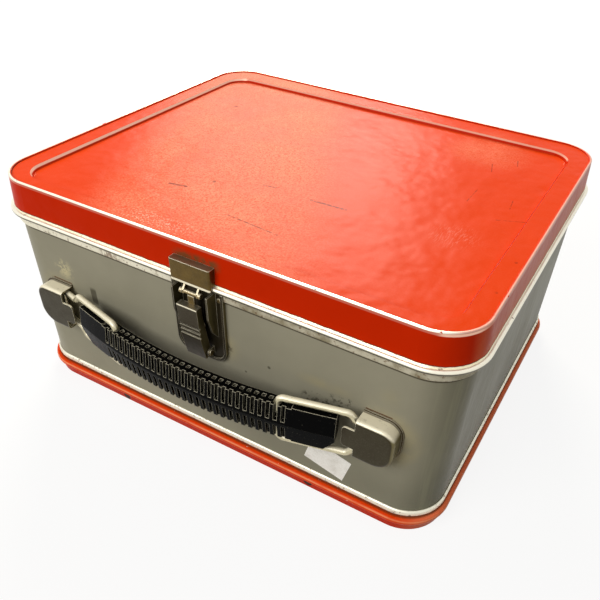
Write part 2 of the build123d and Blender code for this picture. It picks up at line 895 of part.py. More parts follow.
def bracket_outline(side, grow):
    """Front outline of a handle bracket: square at its inner end, rounder below than above outside."""
    top = handle_height + bracket_height / 2 + grow
    bottom = handle_height - bracket_height / 2 - grow
    inner = side * (bracket_inner - max(-grow, 0))
    outer = side * (bracket_outer + grow)
    with BuildLine() as edge:
        FilletPolyline(
            (inner, top),
            (outer, top),
            (outer, bottom),
            (inner, bottom),
            radius=[bracket_corner_radius + grow, bracket_foot_radius + grow],
        )
        Line((inner, bottom), (inner, top))
    make_face(edge.edges())


def make_bracket(side):
    """Pressed hood that holds a bail's cross-bar against the wall, with a tongue and clinched tabs."""
    with BuildPart() as hood:
        with BuildSketch(Plane.XZ.offset(wall_face)):
            bracket_outline(side, 0)
        extrude(amount=bracket_depth)
        front = hood.faces().sort_by(Axis.Y)[0]
        fillet(front.edges().sort_by(Axis.X)[:: side][1:], radius=bracket_round)
        with BuildSketch(Plane.XZ.offset(wall_face)):
            bracket_outline(side, flange_reach)
        extrude(amount=flange_sheet)
        with BuildSketch(Plane.XZ.offset(wall_face)):
            bracket_outline(side, -bracket_sheet)
        extrude(amount=bracket_depth - bracket_sheet, mode=Mode.SUBTRACT)
        tongue_y = -wall_face - bracket_depth + bracket_sheet / 2
        with Locations((side * (bracket_inner - tongue_length / 2), tongue_y, handle_height)):
            Box(tongue_length, bracket_sheet, tongue_height)
        tongue_edges = hood.faces().sort_by(Axis.X)[:: side][0].edges().filter_by(Axis.Y)
        fillet(tongue_edges, radius=bracket_round)
        for tab_x, tab_z, up in bracket_tabs:
            if tab_x * side > 0:
                with Locations((tab_x, -wall_face + sheet, tab_z)):
                    Box(tab_width, 2 * sheet, bracket_sheet)
                bent_y = -wall_inside + bracket_sheet / 2
                bent_z = tab_z + up * (tab_length - bracket_sheet) / 2
                with Locations((tab_x, bent_y, bent_z)):
                    Box(tab_width, bracket_sheet, tab_length)
    return hood


for side, name in ((-1, "left"), (1, "right")):
    finish(make_bracket(side), f"bracket_{name}")


def make_bail(bar_x, side):
    """Bent wire from a cross-bar in its bracket to two tips in the grip."""
    lean = radians(bail_angle)
    along = (-side * cos(lean), -sin(lean), 0)
    normal = (-sin(lean), side * cos(lean), 0)
    bail_plane = Plane(origin=(bar_x, bar_y, handle_height), x_dir=along, z_dir=normal)
    tip = leg_half_height - grip_gap - wire_radius - tip_length
    with BuildPart() as bail:
        with BuildLine(bail_plane) as path:
            FilletPolyline(
                (bail_reach, -tip),
                (bail_reach, -leg_half_height),
                (joggle_end, -leg_half_height),
                (joggle_start, -bar_half_height),
                (0, -bar_half_height),
                (0, bar_half_height),
                (joggle_start, bar_half_height),
                (joggle_end, leg_half_height),
                (bail_reach, leg_half_height),
                (bail_reach, tip),
                radius=bail_bend_radius,
            )
        wire = path.wires()[0]
        with BuildSketch(Plane(origin=wire @ 0, z_dir=wire % 0)):
            Circle(wire_radius)
        sweep(path=wire)
    return bail


left_bail = make_bail(left_bar_x, -1)
right_bail = make_bail(right_bar_x, 1)
finish(left_bail, "left_bail")
finish(right_bail, "right_bail")

# Handle grip: curved bar with a ridge on its outer face, slots, pits and bored ends
arc_centre_y = grip_apex + grip_arc_radius
half_sweep = degrees(atan2(grip_half_length, sqrt(grip_arc_radius ** 2 - grip_half_length ** 2)))


def at_arc(x_offset, out, height):
    """Plane on the grip's arc: x_dir along the bar, y_dir inwards, z_dir up."""
    turn = asin(x_offset / grip_arc_radius)
    radius = grip_arc_radius + out
    origin = (
        grip_centre_x + radius * sin(turn),
        arc_centre_y - radius * cos(turn),
        handle_height + height,
    )
    return Plane(origin=origin, x_dir=(cos(turn), sin(turn), 0), z_dir=(0, 0, 1))


half_grip = grip_height / 2
with BuildPart() as handle_grip:
    with BuildLine(Plane.XY.offset(handle_height)) as grip_line:
        CenterArc((grip_centre_x, arc_centre_y), grip_arc_radius, 270 - half_sweep, 2 * half_sweep)
    grip_path = grip_line.wires()[0]
    section_plane = Plane(origin=grip_path @ 0, x_dir=(0, 0, 1), z_dir=grip_path % 0)
    with BuildSketch(section_plane):
        with BuildLine():
            Polyline(
                (0, 0),
                (half_grip, -grip_ridge),
                (half_grip, -grip_ridge - grip_thickness),
                (-half_grip, -grip_ridge - grip_thickness),
                (-half_grip, -grip_ridge),
                close=True,
            )
        make_face()
    sweep(path=grip_path)
    # The end blocks lose their lower corners
    for side in (-1, 1):
        end_plane = at_arc(side * grip_half_length, 0, -half_grip)
        corner = Plane(origin=end_plane.origin, x_dir=end_plane.x_dir, z_dir=-end_plane.y_dir)
        with BuildSketch(corner.offset(-2 * grip_thickness)):
            with BuildLine():
                Polyline(
                    (side * grip_end_chamfer, -grip_end_chamfer),
                    (side * grip_end_chamfer, 2 * grip_end_chamfer),
                    (side * grip_end_chamfer / 2, 2 * grip_end_chamfer),
                    (-side * grip_end_chamfer, 0),
                    (-side * grip_end_chamfer, -grip_end_chamfer),
                    close=True,
                )
            make_face()
        extrude(amount=4 * grip_thickness, mode=Mode.SUBTRACT)
    # The slotted middle is a little lower than the end blocks
    relief_sweep = degrees((slot_span / 2 + slot_pitch) / grip_arc_radius)
    for up in (-1, 1):
        low = half_grip - slotted_relief if up > 0 else -half_grip - slotted_relief
        with BuildLine(Plane.XY.offset(handle_height + low)) as relief_line:
            CenterArc((grip_centre_x, arc_centre_y), grip_arc_radius, 270 - relief_sweep, 2 * relief_sweep)
        relief_path = relief_line.wires()[0]
        relief_plane = Plane(origin=relief_path @ 0, x_dir=(0, 0, 1), z_dir=relief_path % 0)
        with BuildSketch(relief_plane):
            with Locations((slotted_relief, -(grip_ridge + grip_thickness) / 2)):
                Rectangle(2 * slotted_relief, 2 * (grip_ridge + grip_thickness))
        sweep(path=relief_path, mode=Mode.SUBTRACT)
    # Slots across the outer face, above and below its ridge, and pits in the top near the wall
    for index in range(slot_count):
        along = (index - (slot_count - 1) / 2) * slot_pitch
        middle = grip_arc_radius * sin(along / grip_arc_radius)
        slot_length = half_grip - slot_land
        for up in (-1, 1):
            slot_plane = at_arc(middle, -slot_reach / 2, up * (slot_land + slot_length / 2))
            with Locations(slot_plane.location):
                Box(slot_width, slot_reach, slot_length, mode=Mode.SUBTRACT)
        pit_plane = at_arc(middle, -grip_ridge - grip_thickness + pit_inset + pit_size / 2, half_grip)
        with Locations(pit_plane.location):
            Box(pit_size, pit_size, 2 * (pit_depth + slotted_relief), mode=Mode.SUBTRACT)
    for side in (-1, 1):
        for up in (-1, 1):
            bore = Plane(
                origin=(grip_centre_x + side * pivot_spacing / 2, pivot_y, handle_height + up * half_grip),
                z_dir=(0, 0, up),
            )
            disc(bore, wire_radius + tip_fit, -tip_length - grip_gap, mode=Mode.SUBTRACT)
finish(handle_grip, "handle_grip")

# Price sticker: bare paper, stuck askew on the front wall
with BuildPart() as price_sticker:
    with BuildSketch(Plane.XZ.offset(wall_face)):
        with Locations((sticker_x, sticker_z)):
            Rectangle(sticker_width, sticker_height, rotation=sticker_turn)
    extrude(amount=sticker_thickness)
finish(price_sticker, "price_sticker")

# Vacuum flask: every piece is turned about one axis along Y
flask_plane = Plane(origin=(flask_x, flask_foot, flask_axis_z))
flask_axis = Axis((flask_x, flask_foot, flask_axis_z), (0, 1, 0))


def turned(points, name):
    """Piece turned about the flask's axis, from a half profile given as radius and distance."""
    with BuildPart() as piece:
        with BuildSketch(flask_plane) as half:
            with BuildLine():
                Polyline(*points, close=True)
            make_face()
        revolve(half.sketch, axis=flask_axis)
    finish(piece, name)


base_inside = flask_radius - flask_base_wall
shell_radius = base_inside - flask_fit
shell_bore = shell_radius - flask_shell_wall
turned(
    [
        (0, 0),
        (flask_radius - flask_base_wall, 0),
        (flask_radius, flask_base_wall),
        (flask_radius, flask_base_length),
        (base_inside, flask_base_length),
        (base_inside, flask_base_wall),
        (0, flask_base_wall),
    ],
    "flask_base",
)
turned(
    [
        (shell_radius, shell_start),
        (shell_radius, shell_end),
        (shell_bore, shell_end),
        (shell_bore, shell_start),
    ],
    "flask_shell",
)
collar_end = shell_end + collar_lip
neck_end = collar_end + collar_neck_length
neck_bore = liner_mouth_radius + liner_wall + flask_fit
turned(
    [
        (neck_bore, shell_end - collar_spigot),
        (shell_bore - flask_fit, shell_end - collar_spigot),
        (shell_bore - flask_fit, shell_end),
        (flask_radius - cup_wall, shell_end),
        (flask_radius - cup_wall, collar_end),
        (collar_neck_radius, collar_end),
        (collar_neck_radius, neck_end),
        (liner_mouth_radius + stopper_seat, neck_end),
        (liner_mouth_radius + stopper_seat, neck_end - collar_wall),
        (neck_bore, neck_end - collar_wall),
    ],
    "flask_collar",
)
liner_end = neck_end - collar_wall - gasket_thickness
liner_shoulder = shell_end - collar_spigot - liner_gap
liner_outer = shell_bore - liner_gap
turned(
    [
        (0, liner_foot),
        (liner_outer - liner_wall, liner_foot),
        (liner_outer, liner_foot + liner_wall),
        (liner_outer, liner_shoulder - liner_slope),
        (liner_mouth_radius + liner_wall, liner_shoulder),
        (liner_mouth_radius + liner_wall, liner_end),
        (liner_mouth_radius, liner_end),
        (liner_mouth_radius, liner_shoulder - liner_wall / 2),
        (liner_outer - liner_wall, liner_shoulder - liner_slope - liner_wall / 2),
        (liner_outer - liner_wall, liner_foot + 2 * liner_wall),
        (liner_outer - 2 * liner_wall, liner_foot + liner_wall),
        (0, liner_foot + liner_wall),
    ],
    "glass_liner",
)
turned(
    [
        (0, flask_base_wall),
        (cushion_radius, flask_base_wall),
        (cushion_radius, liner_foot),
        (0, liner_foot),
    ],
    "liner_cushion",
)
turned(
    [
        (liner_mouth_radius + stopper_seat, liner_end),
        (liner_mouth_radius + liner_wall, liner_end),
        (liner_mouth_radius + liner_wall, liner_end + gasket_thickness),
        (liner_mouth_radius + stopper_seat, liner_end + gasket_thickness),
    ],
    "neck_gasket",
)
stopper_bottom = neck_end - stopper_depth
stopper_flange = neck_end + flask_fit
stopper_top = stopper_flange + stopper_knob_height
turned(
    [
        (0, stopper_bottom),
        (liner_mouth_radius - stopper_fit, stopper_bottom),
        (liner_mouth_radius - stopper_fit, stopper_flange),
        (stopper_flange_radius, stopper_flange),
        (stopper_flange_radius, stopper_flange + stopper_flange_height),
        (stopper_knob_radius, stopper_flange + stopper_flange_height),
        (stopper_knob_radius - stopper_knob_taper, stopper_top),
        (0, stopper_top),
    ],
    "stopper",
)
cup_start = collar_end + cup_fit
cup_end = cup_start + cup_length
cup_outer = flask_radius - flask_gap
turned(
    [
        (cup_outer, cup_start),
        (cup_outer, cup_end - cup_wall),
        (cup_outer - cup_wall, cup_end),
        (0, cup_end),
        (0, cup_end - cup_wall),
        (cup_outer - 2 * cup_wall, cup_end - cup_wall),
        (cup_outer - cup_wall, cup_end - 2 * cup_wall),
        (cup_outer - cup_wall, cup_start),
    ],
    "flask_cup",
)

# Flask clamp: bent wire over the flask, with tips that turn in two ears on the base pan
with BuildPart() as flask_clamp:
    clamp_turn = radians(180 - clamp_wrap)
    clamp_end = (flask_x + clamp_loop * cos(clamp_turn), flask_axis_z + clamp_loop * sin(clamp_turn))
    for side in (-1, 1):
        arm_y = side * clamp_arm_offset
        with BuildLine(Plane.XZ.offset(-arm_y)) as arm:
            Line((clamp_x, clamp_pivot_height), (clamp_x, flask_axis_z))
            CenterArc((flask_x, flask_axis_z), clamp_loop, 180, -clamp_wrap)
        arm_path = arm.wires()[0]
        with BuildSketch(Plane(origin=(clamp_x, arm_y, clamp_pivot_height))):
            Circle(clamp_wire_radius)
        sweep(path=arm_path)
        for corner_x, corner_z in ((clamp_x, clamp_pivot_height), clamp_end):
            with Locations((corner_x, arm_y, corner_z)):
                Sphere(clamp_wire_radius + clamp_bend_swell)
        tip_plane = Plane(origin=(clamp_x, arm_y, clamp_pivot_height), z_dir=(0, side, 0))
        disc(tip_plane, clamp_wire_radius, clamp_tip)
    cross_plane = Plane(origin=(clamp_end[0], -clamp_arm_offset, clamp_end[1]), z_dir=(0, 1, 0))
    disc(cross_plane, clamp_wire_radius, 2 * clamp_arm_offset)
finish(flask_clamp, "flask_clamp")

ear_inner = clamp_arm_offset + clamp_wire_radius + ear_gap
with BuildPart() as clamp_ears:
    for side in (-1, 1):
        ear_middle = side * (ear_inner + ear_sheet / 2)
        foot_middle = side * (ear_inner + ear_foot / 2)
        with Locations((clamp_x, ear_middle, sheet + clamp_pivot_height / 2)):
            Box(ear_width, ear_sheet, clamp_pivot_height)
        with Locations((clamp_x, foot_middle, sheet + ear_sheet / 2)):
            Box(ear_width, ear_foot, ear_sheet)
        ear_plane = Plane(origin=(clamp_x, side * ear_inner, clamp_pivot_height), z_dir=(0, side, 0))
        disc(ear_plane, ear_width / 2, ear_sheet)
        disc(ear_plane, clamp_wire_radius + clamp_tip_fit, ear_sheet, mode=Mode.SUBTRACT)
        rivet_hole(ear_rivet_plane(side), rivet_radius, 2 * sheet)
finish(clamp_ears, "clamp_ears")

with BuildPart() as clamp_rivets:
    for side in (-1, 1):
        ear_rivet_at = ear_rivet_plane(side)
        disc(ear_rivet_at, rivet_head_radius, rivet_head_height, taper=rivet_head_taper)
        disc(ear_rivet_at, rivet_radius, -sheet - ear_sheet)
        disc(ear_rivet_at.offset(-sheet - ear_sheet), sunk_radius, countersink, taper=countersink_angle)
finish(clamp_rivets, "clamp_rivets")
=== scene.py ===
import math

import bmesh
import bpy
from mathutils import Matrix, Vector


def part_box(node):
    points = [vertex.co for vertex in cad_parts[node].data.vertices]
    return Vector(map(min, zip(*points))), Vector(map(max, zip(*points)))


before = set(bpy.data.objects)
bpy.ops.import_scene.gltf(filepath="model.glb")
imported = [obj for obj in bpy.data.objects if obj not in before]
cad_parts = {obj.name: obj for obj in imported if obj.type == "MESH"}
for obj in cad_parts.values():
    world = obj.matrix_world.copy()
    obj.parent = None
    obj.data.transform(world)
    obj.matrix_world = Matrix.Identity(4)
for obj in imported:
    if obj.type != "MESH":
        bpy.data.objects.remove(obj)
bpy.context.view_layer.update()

bl_info = {
    "name": "Steel lunch box",
    "version": (1, 0, 0),
    "blender": (4, 5, 0),
    "location": "3D View > Sidebar > Lunch box",
    "description": "Finishes and stage for a pressed steel lunch box with a vacuum flask",
    "category": "Object",
}

MM = 0.001

# Limit of a mask that is open on that side
OPEN = 1000.0

# Shape of the box in millimetres: centre and radius of a rounded corner, height of the lid's panel and
# place of the front wall
CORNER = (90.0, 72.0, 0.0)
CORNER_RADIUS = 18.0
PANEL = 102.6
WALL = -89.2

# The lid's wall leans out by FLARE from its top edge down to its hem, over FLARE_HEIGHT
LID_EDGE = 104.4
FLARE = 1.2
FLARE_HEIGHT = 15.6

# Heights where the hem bead, worn and painted bright as a highlight, ends and where it turns under into
# painted shade
HEM_TOP = 91.8
HEM_FOLD = 90.0

# Heights of the body's ridge and of its bead at the foot, and of the painted shade in the seams beside them,
# with their soft width
RIDGE = (80.0, 95.0)
FOOT_BEAD = (7.0, 15.0)
SHADED_SEAMS = ((83.2, 84.5, 0.25), (87.4, 89.4, 0.2), (8.0, 9.2, 0.2))

# The painted highlight, a pale band across the lid, moves this far in x for each millimetre of y
SHEEN_SLANT = 0.42

# Scratches on the lid's panel, each with start, end and width: bold ones at the left and in the middle,
# faint ones at the right
BOLD_SCRATCHES = (
    ((-5.5, -61.0), (19.2, -63.5), 0.4),
    ((15.4, -31.3), (31.7, -30.8), 0.8),
    ((-42.5, -52.0), (-35.0, -50.5), 0.9),
    ((-8.5, -30.7), (-2.3, -29.9), 0.5),
)
FAINT_SCRATCHES = (
    ((67.8, 48.7), (70.3, 39.8), 0.3),
    ((77.0, 59.2), (78.9, 52.3), 0.3),
    ((70.9, 18.6), (70.8, 5.4), 0.3),
    ((87.4, 16.7), (88.5, 8.8), 0.3),
    ((86.6, -3.9), (97.8, 1.1), 0.3),
)

# Dents of the lid's panel, each with place, radius, soft width and depth
DENTS = (
    ((58.3, 72.3), 3.0, 4.0, 0.35),
    ((97.0, 34.2), 2.5, 3.5, 0.3),
    ((-58.0, -39.5), 3.0, 4.5, 0.25),
    ((-60.0, -19.5), 3.5, 5.0, 0.2),
    ((-53.3, -50.9), 2.0, 3.5, 0.15),
    ((-73.3, 39.8), 0.6, 1.0, 0.2),
    ((24.0, 37.6), 1.0, 2.0, 0.12),
)

# Rust pits in the front of the base pan's rim, and their radius
PITS = ((-52.8, -91.0, 2.0), (51.9, -91.0, 3.0))
PIT_RADIUS = 2.2

# The flask's two painted bands along its length, half the distance between the ribs of its cup, and how
# steeply a rib rises
FLASK_BANDS = ((-52.0, -46.0), (14.0, 20.0))
CUP_RIBS = 1.2
RIB_SLOPE = 0.25

# Cosine between a face and the same face with rounded edges, where wear starts and where it is full
EDGE_START = 0.99
EDGE_FULL = 0.9

# Half the floor's side in metres
FLOOR_REACH = 8.0

# Ranges in millimetres: heights of the catch's rolled lower edge and of the lever's top edge, which get a
# painted highlight, and the y of the brackets' rims on the front wall
CATCH_LIP = (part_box("latch_catch")[0][2] / MM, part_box("latch_catch")[0][2] / MM + 1.0)
LEVER_LIP = (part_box("latch_lever")[1][2] / MM - 0.6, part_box("latch_lever")[1][2] / MM + 0.1)
HOOD_SEAT = (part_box("body_band")[0][1] / MM - 0.3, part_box("body_band")[0][1] / MM + 1.5)


def linear(code):
    """Turn an sRGB hex colour into linear light with full alpha."""
    levels = [int(code[place:place + 2], 16) / 255 for place in (1, 3, 5)]
    light = [v / 12.92 if v <= 0.04045 else ((v + 0.055) / 1.055) ** 2.4 for v in levels]
    return (*light, 1.0)


# Tints of the enamel: painted highlight on the lid's right side, on the step to the panel and on the crest
# and right side of the base pan, and the colour of its rust pits
ENAMEL_FLANK_HIGHLIGHT = linear("#ff9a60")
ENAMEL_STEP_HIGHLIGHT = linear("#ffd2b8")
ENAMEL_CREST_HIGHLIGHT = linear("#ffa878")
ENAMEL_PIT = linear("#2a1c10")

# Tints of the lacquer: broad tone, painted shade at the right end and low on the wall, upright streaks,
# deposit, creeping rust, dark marks and scores
LACQUER_SHADE = linear("#7e7b6b")
LACQUER_END_SHADE = linear("#7b7a68")
LACQUER_LOW_SHADE = linear("#6c6c5c")
LACQUER_STREAK = linear("#a8a78c")
LACQUER_DEPOSIT = linear("#cfc59c")
LACQUER_CREEP = linear("#5a3410")
LACQUER_DARK_MARK = linear("#3d3829")
LACQUER_SCORE = linear("#d6d3c2")

# Tints of the fittings: film on the brackets, rust at their seat, bright zinc for rubbed edges and painted
# highlight
HOOD_FILM = linear("#38321f")
SEAT_RUST = linear("#4a3d20")
ZINC_BRIGHT = linear("#c4c2b4")

# Tints of plastic, glass, rubber and paper
PLASTIC_MOTTLE = linear("#3a2a20")
GLASS_SILVER = linear("#cfd2cf")
RUBBER = linear("#4a3f38")
RUBBER_DUST = linear("#7d7268")
PAPER_FIBRE = linear("#cfcbbd")
PAPER_SOIL = linear("#9a937c")

# Tints of the stage: the floor to soft light and to the lens, warm sky and plain white
FLOOR_SOFT = linear("#a3a19c")
FLOOR_SEEN = linear("#fbfaf7")
SKY_WARM = linear("#fffaf0")
WHITE = linear("#ffffff")


def colour(label, text, code):
    """A colour that a user may change."""
    return bpy.props.FloatVectorProperty(
        name=label, description=text, subtype="COLOR", size=4, min=0.0, max=1.0, default=linear(code)
    )


def length(label, text, millimetres):
    """A length that a user may change."""
    return bpy.props.FloatProperty(
        name=label, description=text, subtype="DISTANCE", unit="LENGTH", min=0.0, default=millimetres * MM
    )


class PaintSettings(bpy.types.PropertyGroup):
    """Colours and wear of the painted steel."""

    enamel: colour("Enamel", "Orange enamel of lid and base pan", "#e43e00")
    # Painted shade: the darker enamel on the sides of the lid and under the base pan's bead
    enamel_shade: colour("Enamel on the sides", "Enamel that was never rubbed, deeper in tone", "#c32600")
    # Pale enamel for the painted highlight of the gloss on lid and base pan, and for faint scuffs
    enamel_sheen_and_scuffs: colour("Scuffed enamel", "Enamel where its gloss is rubbed pale", "#fba27c")
    enamel_dark: colour("Marked enamel", "Scratches and dents that hold dirt", "#641400")
    silver: colour("Silver lacquer", "Aluminium lacquer of the body", "#9c9885")
    # Also the colour of the painted highlight on rims and beads that face the light
    bare: colour("Bare rims", "Worn rims where the bright tinplate shows", "#fbf6e2")
    tan: colour("Soiled rims", "Rims where lacquer and dirt have turned tan", "#958c72")
    # Painted shade in the seams beside the beads and under the hem
    seam_shade: colour("Grime", "Dark dirt in the seams between beads and walls", "#3b3122")
    rust: colour("Rust", "Rust in chips and corners", "#6b4526")
    stain: colour("Stains", "Yellowed lacquer round the fittings", "#a69c7a")
    peel: length("Orange peel", "Distance between the ripples of sprayed enamel", 1.1)


class MetalSettings(bpy.types.PropertyGroup):
    """Colours of the plated fittings."""

    nickel_dull: colour("Tarnished nickel", "Plated faces that have gone olive brown", "#66501f")
    nickel_dark: colour("Blackened nickel", "Plated faces that are nearly black with film", "#3f3828")
    # Painted highlight on the faces turned to the right
    nickel_flank_highlight: colour("Olive nickel", "Plated faces turned to the side, less touched", "#8a7f55")
    nickel_brown: colour("Browned nickel", "Small plated parts inside the latch", "#8f7a4e")
    nickel_wire: colour("Wire nickel", "Plated wire of the bails", "#cfc6a4")
    # Also the painted highlight on faces that look up and along upper edges
    nickel_bright: colour("Bright nickel", "Plated edges and wire that rub clean", "#fff7dc")
    tarnish: colour("Tarnish", "Brown film in hollows of the plating", "#33291a")
    steel: colour("Plain steel", "Zinc plated hinge steel", "#7f7d70")
    edge: length("Edge wear", "Width of the bright band along a plated edge", 0.42)


class PlasticSettings(bpy.types.PropertyGroup):
    """Colours of grip, flask and paper."""

    grip: colour("Grip", "Black moulded plastic of the grip", "#060606")
    # Also the painted highlight along the grip's edges
    dust: colour("Dust", "Pale dust and rubbed edges on the black plastic", "#d8d2ba")
    cup: colour("Cup", "Moulded plastic of cup and flask foot", "#c8321a")
    collar: colour("Collar", "Moulded plastic of the flask's collar and stopper", "#e6dcc2")
    flask: colour("Flask shell", "Enamel of the flask's steel shell", "#8b8b84")
    paper: colour("Paper", "Paper of the price sticker", "#fffefa")


class StageSettings(bpy.types.PropertyGroup):
    """Camera, lamps and floor."""

    camera_place: bpy.props.FloatVectorProperty(
        name="Camera place",
        description="Where the camera stands",
        subtype="TRANSLATION",
        unit="LENGTH",
        default=(0.13554, -0.24474, 0.22504),
    )
    camera_aim: bpy.props.FloatVectorProperty(
        name="Camera aim",
        description="Point in the middle of the lens's view",
        subtype="TRANSLATION",
        unit="LENGTH",
        default=(0.04398, -0.07289, 0.0500),
    )
    camera_roll: bpy.props.FloatProperty(
        name="Camera roll",
        description="Turn of the camera about its line of view",
        subtype="ANGLE",
        default=math.radians(2.893),
    )
    lens: bpy.props.FloatProperty(
        name="Lens", description="Focal length of the camera in millimetres", min=1.0, default=37.93
    )
    shift: bpy.props.FloatVectorProperty(
        name="Shift",
        description="Shift of the view as shares of the picture's width",
        size=2,
        default=(-0.0263, 0.1242),
    )
    sky: bpy.props.FloatProperty(name="Sky", description="Strength of the even light", min=0.0, default=0.32)
    window: bpy.props.FloatProperty(
        name="Window", description="Power of the broad lamp behind the box in watts", min=0.0, default=19.0
    )
    fill: bpy.props.FloatProperty(
        name="Fill", description="Power of the broad lamp before the front in watts", min=0.0, default=12.0
    )


# Nodes


def add(tree, kind, settings, inputs):
    """Add a node with its settings, link or set its inputs, and give its first output."""
    made = tree.nodes.new(kind)
    for name, value in settings.items():
        setattr(made, name, value)
    for place, value in inputs.items():
        if isinstance(value, bpy.types.NodeSocket):
            tree.links.new(value, made.inputs[place])
        else:
            made.inputs[place].default_value = value
    if kind == "ShaderNodeMix":
        return made.outputs[2]
    return made.outputs[0] if len(made.outputs) else None


def begin(name):
    """Start a material and give it with its tree, its shader and the place in millimetres."""
    material = bpy.data.materials.new(name)
    material.use_nodes = True
    tree = material.node_tree
    tree.nodes.clear()
    shader = tree.nodes.new("ShaderNodeBsdfPrincipled")
    add(tree, "ShaderNodeOutputMaterial", {}, {"Surface": shader.outputs["BSDF"]})
    here = add(tree, "ShaderNodeTexCoord", {}, {}).node.outputs["Object"]
    where = add(tree, "ShaderNodeVectorMath", {"operation": "SCALE"}, {0: here, "Scale": 1 / MM})
    return material, tree, shader, where


def axes(tree, where):
    """Split a place into its three axes."""
    return add(tree, "ShaderNodeSeparateXYZ", {}, {0: where}).node.outputs


def heading(tree, normal=None):
    """Split the way a face looks into the axes of its own piece, so that wear rides along when it moves."""
    if normal is None:
        normal = add(tree, "ShaderNodeNewGeometry", {}, {}).node.outputs["Normal"]
    turn = {"vector_type": "NORMAL", "convert_from": "WORLD", "convert_to": "OBJECT"}
    return axes(tree, add(tree, "ShaderNodeVectorTransform", turn, {0: normal}))


def laid_over(tree, below, above, mask):
    """Lay one colour over another where the mask says."""
    return add(tree, "ShaderNodeMix", {"data_type": "RGBA"}, {0: mask, 6: below, 7: above})


def both(tree, first, second):
    """Mask where two masks meet."""
    return add(tree, "ShaderNodeMath", {"operation": "MULTIPLY"}, {0: first, 1: second})


def either(tree, masks):
    """Mask that holds the strongest of several."""
    strongest = masks[0]
    for mask in masks[1:]:
        strongest = add(tree, "ShaderNodeMath", {"operation": "MAXIMUM"}, {0: strongest, 1: mask})
    return strongest


def between(tree, value, low, high, soft):
    """Mask that is full between two values and fades over a soft width."""
    rise = add(
        tree,
        "ShaderNodeMapRange",
        {"interpolation_type": "SMOOTHSTEP"},
        {"Value": value, "From Min": low - soft, "From Max": low + soft},
    )
    fall = add(
        tree,
        "ShaderNodeMapRange",
        {"interpolation_type": "SMOOTHSTEP"},
        {"Value": value, "From Min": high - soft, "From Max": high + soft, "To Min": 1.0, "To Max": 0.0},
    )
    return both(tree, rise, fall)


def flecks(tree, where, size, low, high):
    """Irregular flecks of about a size in millimetres, from none at low to full at high."""
    noise = add(
        tree,
        "ShaderNodeTexNoise",
        {},
        {"Vector": where, "Scale": 1 / size, "Detail": 4.0, "Roughness": 0.6},
    )
    return add(tree, "ShaderNodeMapRange", {}, {"Value": noise, "From Min": low, "From Max": high})


def outline_distance(tree, where):
    """Distance in millimetres outside the lid's rim, seen from above."""
    flat = add(tree, "ShaderNodeVectorMath", {"operation": "MULTIPLY"}, {0: where, 1: (1.0, 1.0, 0.0)})
    folded = add(tree, "ShaderNodeVectorMath", {"operation": "ABSOLUTE"}, {0: flat})
    past = add(tree, "ShaderNodeVectorMath", {"operation": "SUBTRACT"}, {0: folded, 1: CORNER})
    outside = add(tree, "ShaderNodeVectorMath", {"operation": "MAXIMUM"}, {0: past, 1: (0.0, 0.0, 0.0)})
    reach = add(tree, "ShaderNodeVectorMath", {"operation": "LENGTH"}, {0: outside}).node.outputs["Value"]
    return add(tree, "ShaderNodeMath", {"operation": "SUBTRACT"}, {0: reach, 1: CORNER_RADIUS})


def spot(tree, where, centre, radius, soft):
    """Round mark at a place."""
    reach = add(
        tree, "ShaderNodeVectorMath", {"operation": "DISTANCE"}, {0: where, 1: centre}
    ).node.outputs["Value"]
    return add(
        tree,
        "ShaderNodeMapRange",
        {"interpolation_type": "SMOOTHSTEP"},
        {"Value": reach, "From Min": radius - soft, "From Max": radius + soft, "To Min": 1.0, "To Max": 0.0},
    )


def scratch(tree, where, start, end, width):
    """Thin line from one place to another."""
    run = Vector(end) - Vector(start)
    back = add(tree, "ShaderNodeVectorMath", {"operation": "SUBTRACT"}, {0: where, 1: start})
    along = add(
        tree, "ShaderNodeVectorMath", {"operation": "DOT_PRODUCT"}, {0: back, 1: run / run.length_squared}
    ).node.outputs["Value"]
    held = add(tree, "ShaderNodeClamp", {}, {"Value": along})
    nearest = add(tree, "ShaderNodeVectorMath", {"operation": "SCALE"}, {0: tuple(run), "Scale": held})
    reach = add(
        tree, "ShaderNodeVectorMath", {"operation": "DISTANCE"}, {0: back, 1: nearest}
    ).node.outputs["Value"]
    return add(
        tree,
        "ShaderNodeMapRange",
        {"interpolation_type": "SMOOTHSTEP"},
        {"Value": reach, "From Min": width / 2, "From Max": width, "To Min": 1.0, "To Max": 0.0},
    )


def scratches(tree, where, lines):
    """Scratches across the lid's panel."""
    return [scratch(tree, where, (*start, PANEL), (*end, PANEL), width) for start, end, width in lines]


def edges(tree, width):
    """Mask along the edges of a piece that look up, for a bright line that is partly rubbed by hands and dust
    and partly a painted highlight.
    """
    soft = add(tree, "ShaderNodeBevel", {"samples": 6}, {"Radius": width})
    sharp = add(tree, "ShaderNodeNewGeometry", {}, {}).node.outputs["Normal"]
    match = add(tree, "ShaderNodeVectorMath", {"operation": "DOT_PRODUCT"}, {0: soft, 1: sharp})
    edge = add(
        tree,
        "ShaderNodeMapRange",
        {},
        {"Value": match.node.outputs["Value"], "From Min": EDGE_START, "From Max": EDGE_FULL},
    )
    upward = add(
        tree,
        "ShaderNodeMapRange",
        {},
        {"Value": heading(tree, soft)[2], "From Min": -0.15, "From Max": 0.25, "To Min": 0.3},
    )
    return both(tree, edge, upward)


def relief(tree, heights):
    """Sum of heights in millimetres, each given with its depth."""
    total = None
    for mask, depth in heights:
        part = add(tree, "ShaderNodeMath", {"operation": "MULTIPLY"}, {0: mask, 1: depth})
        if total is None:
            total = part
        else:
            total = add(tree, "ShaderNodeMath", {"operation": "ADD"}, {0: total, 1: part})
    return total


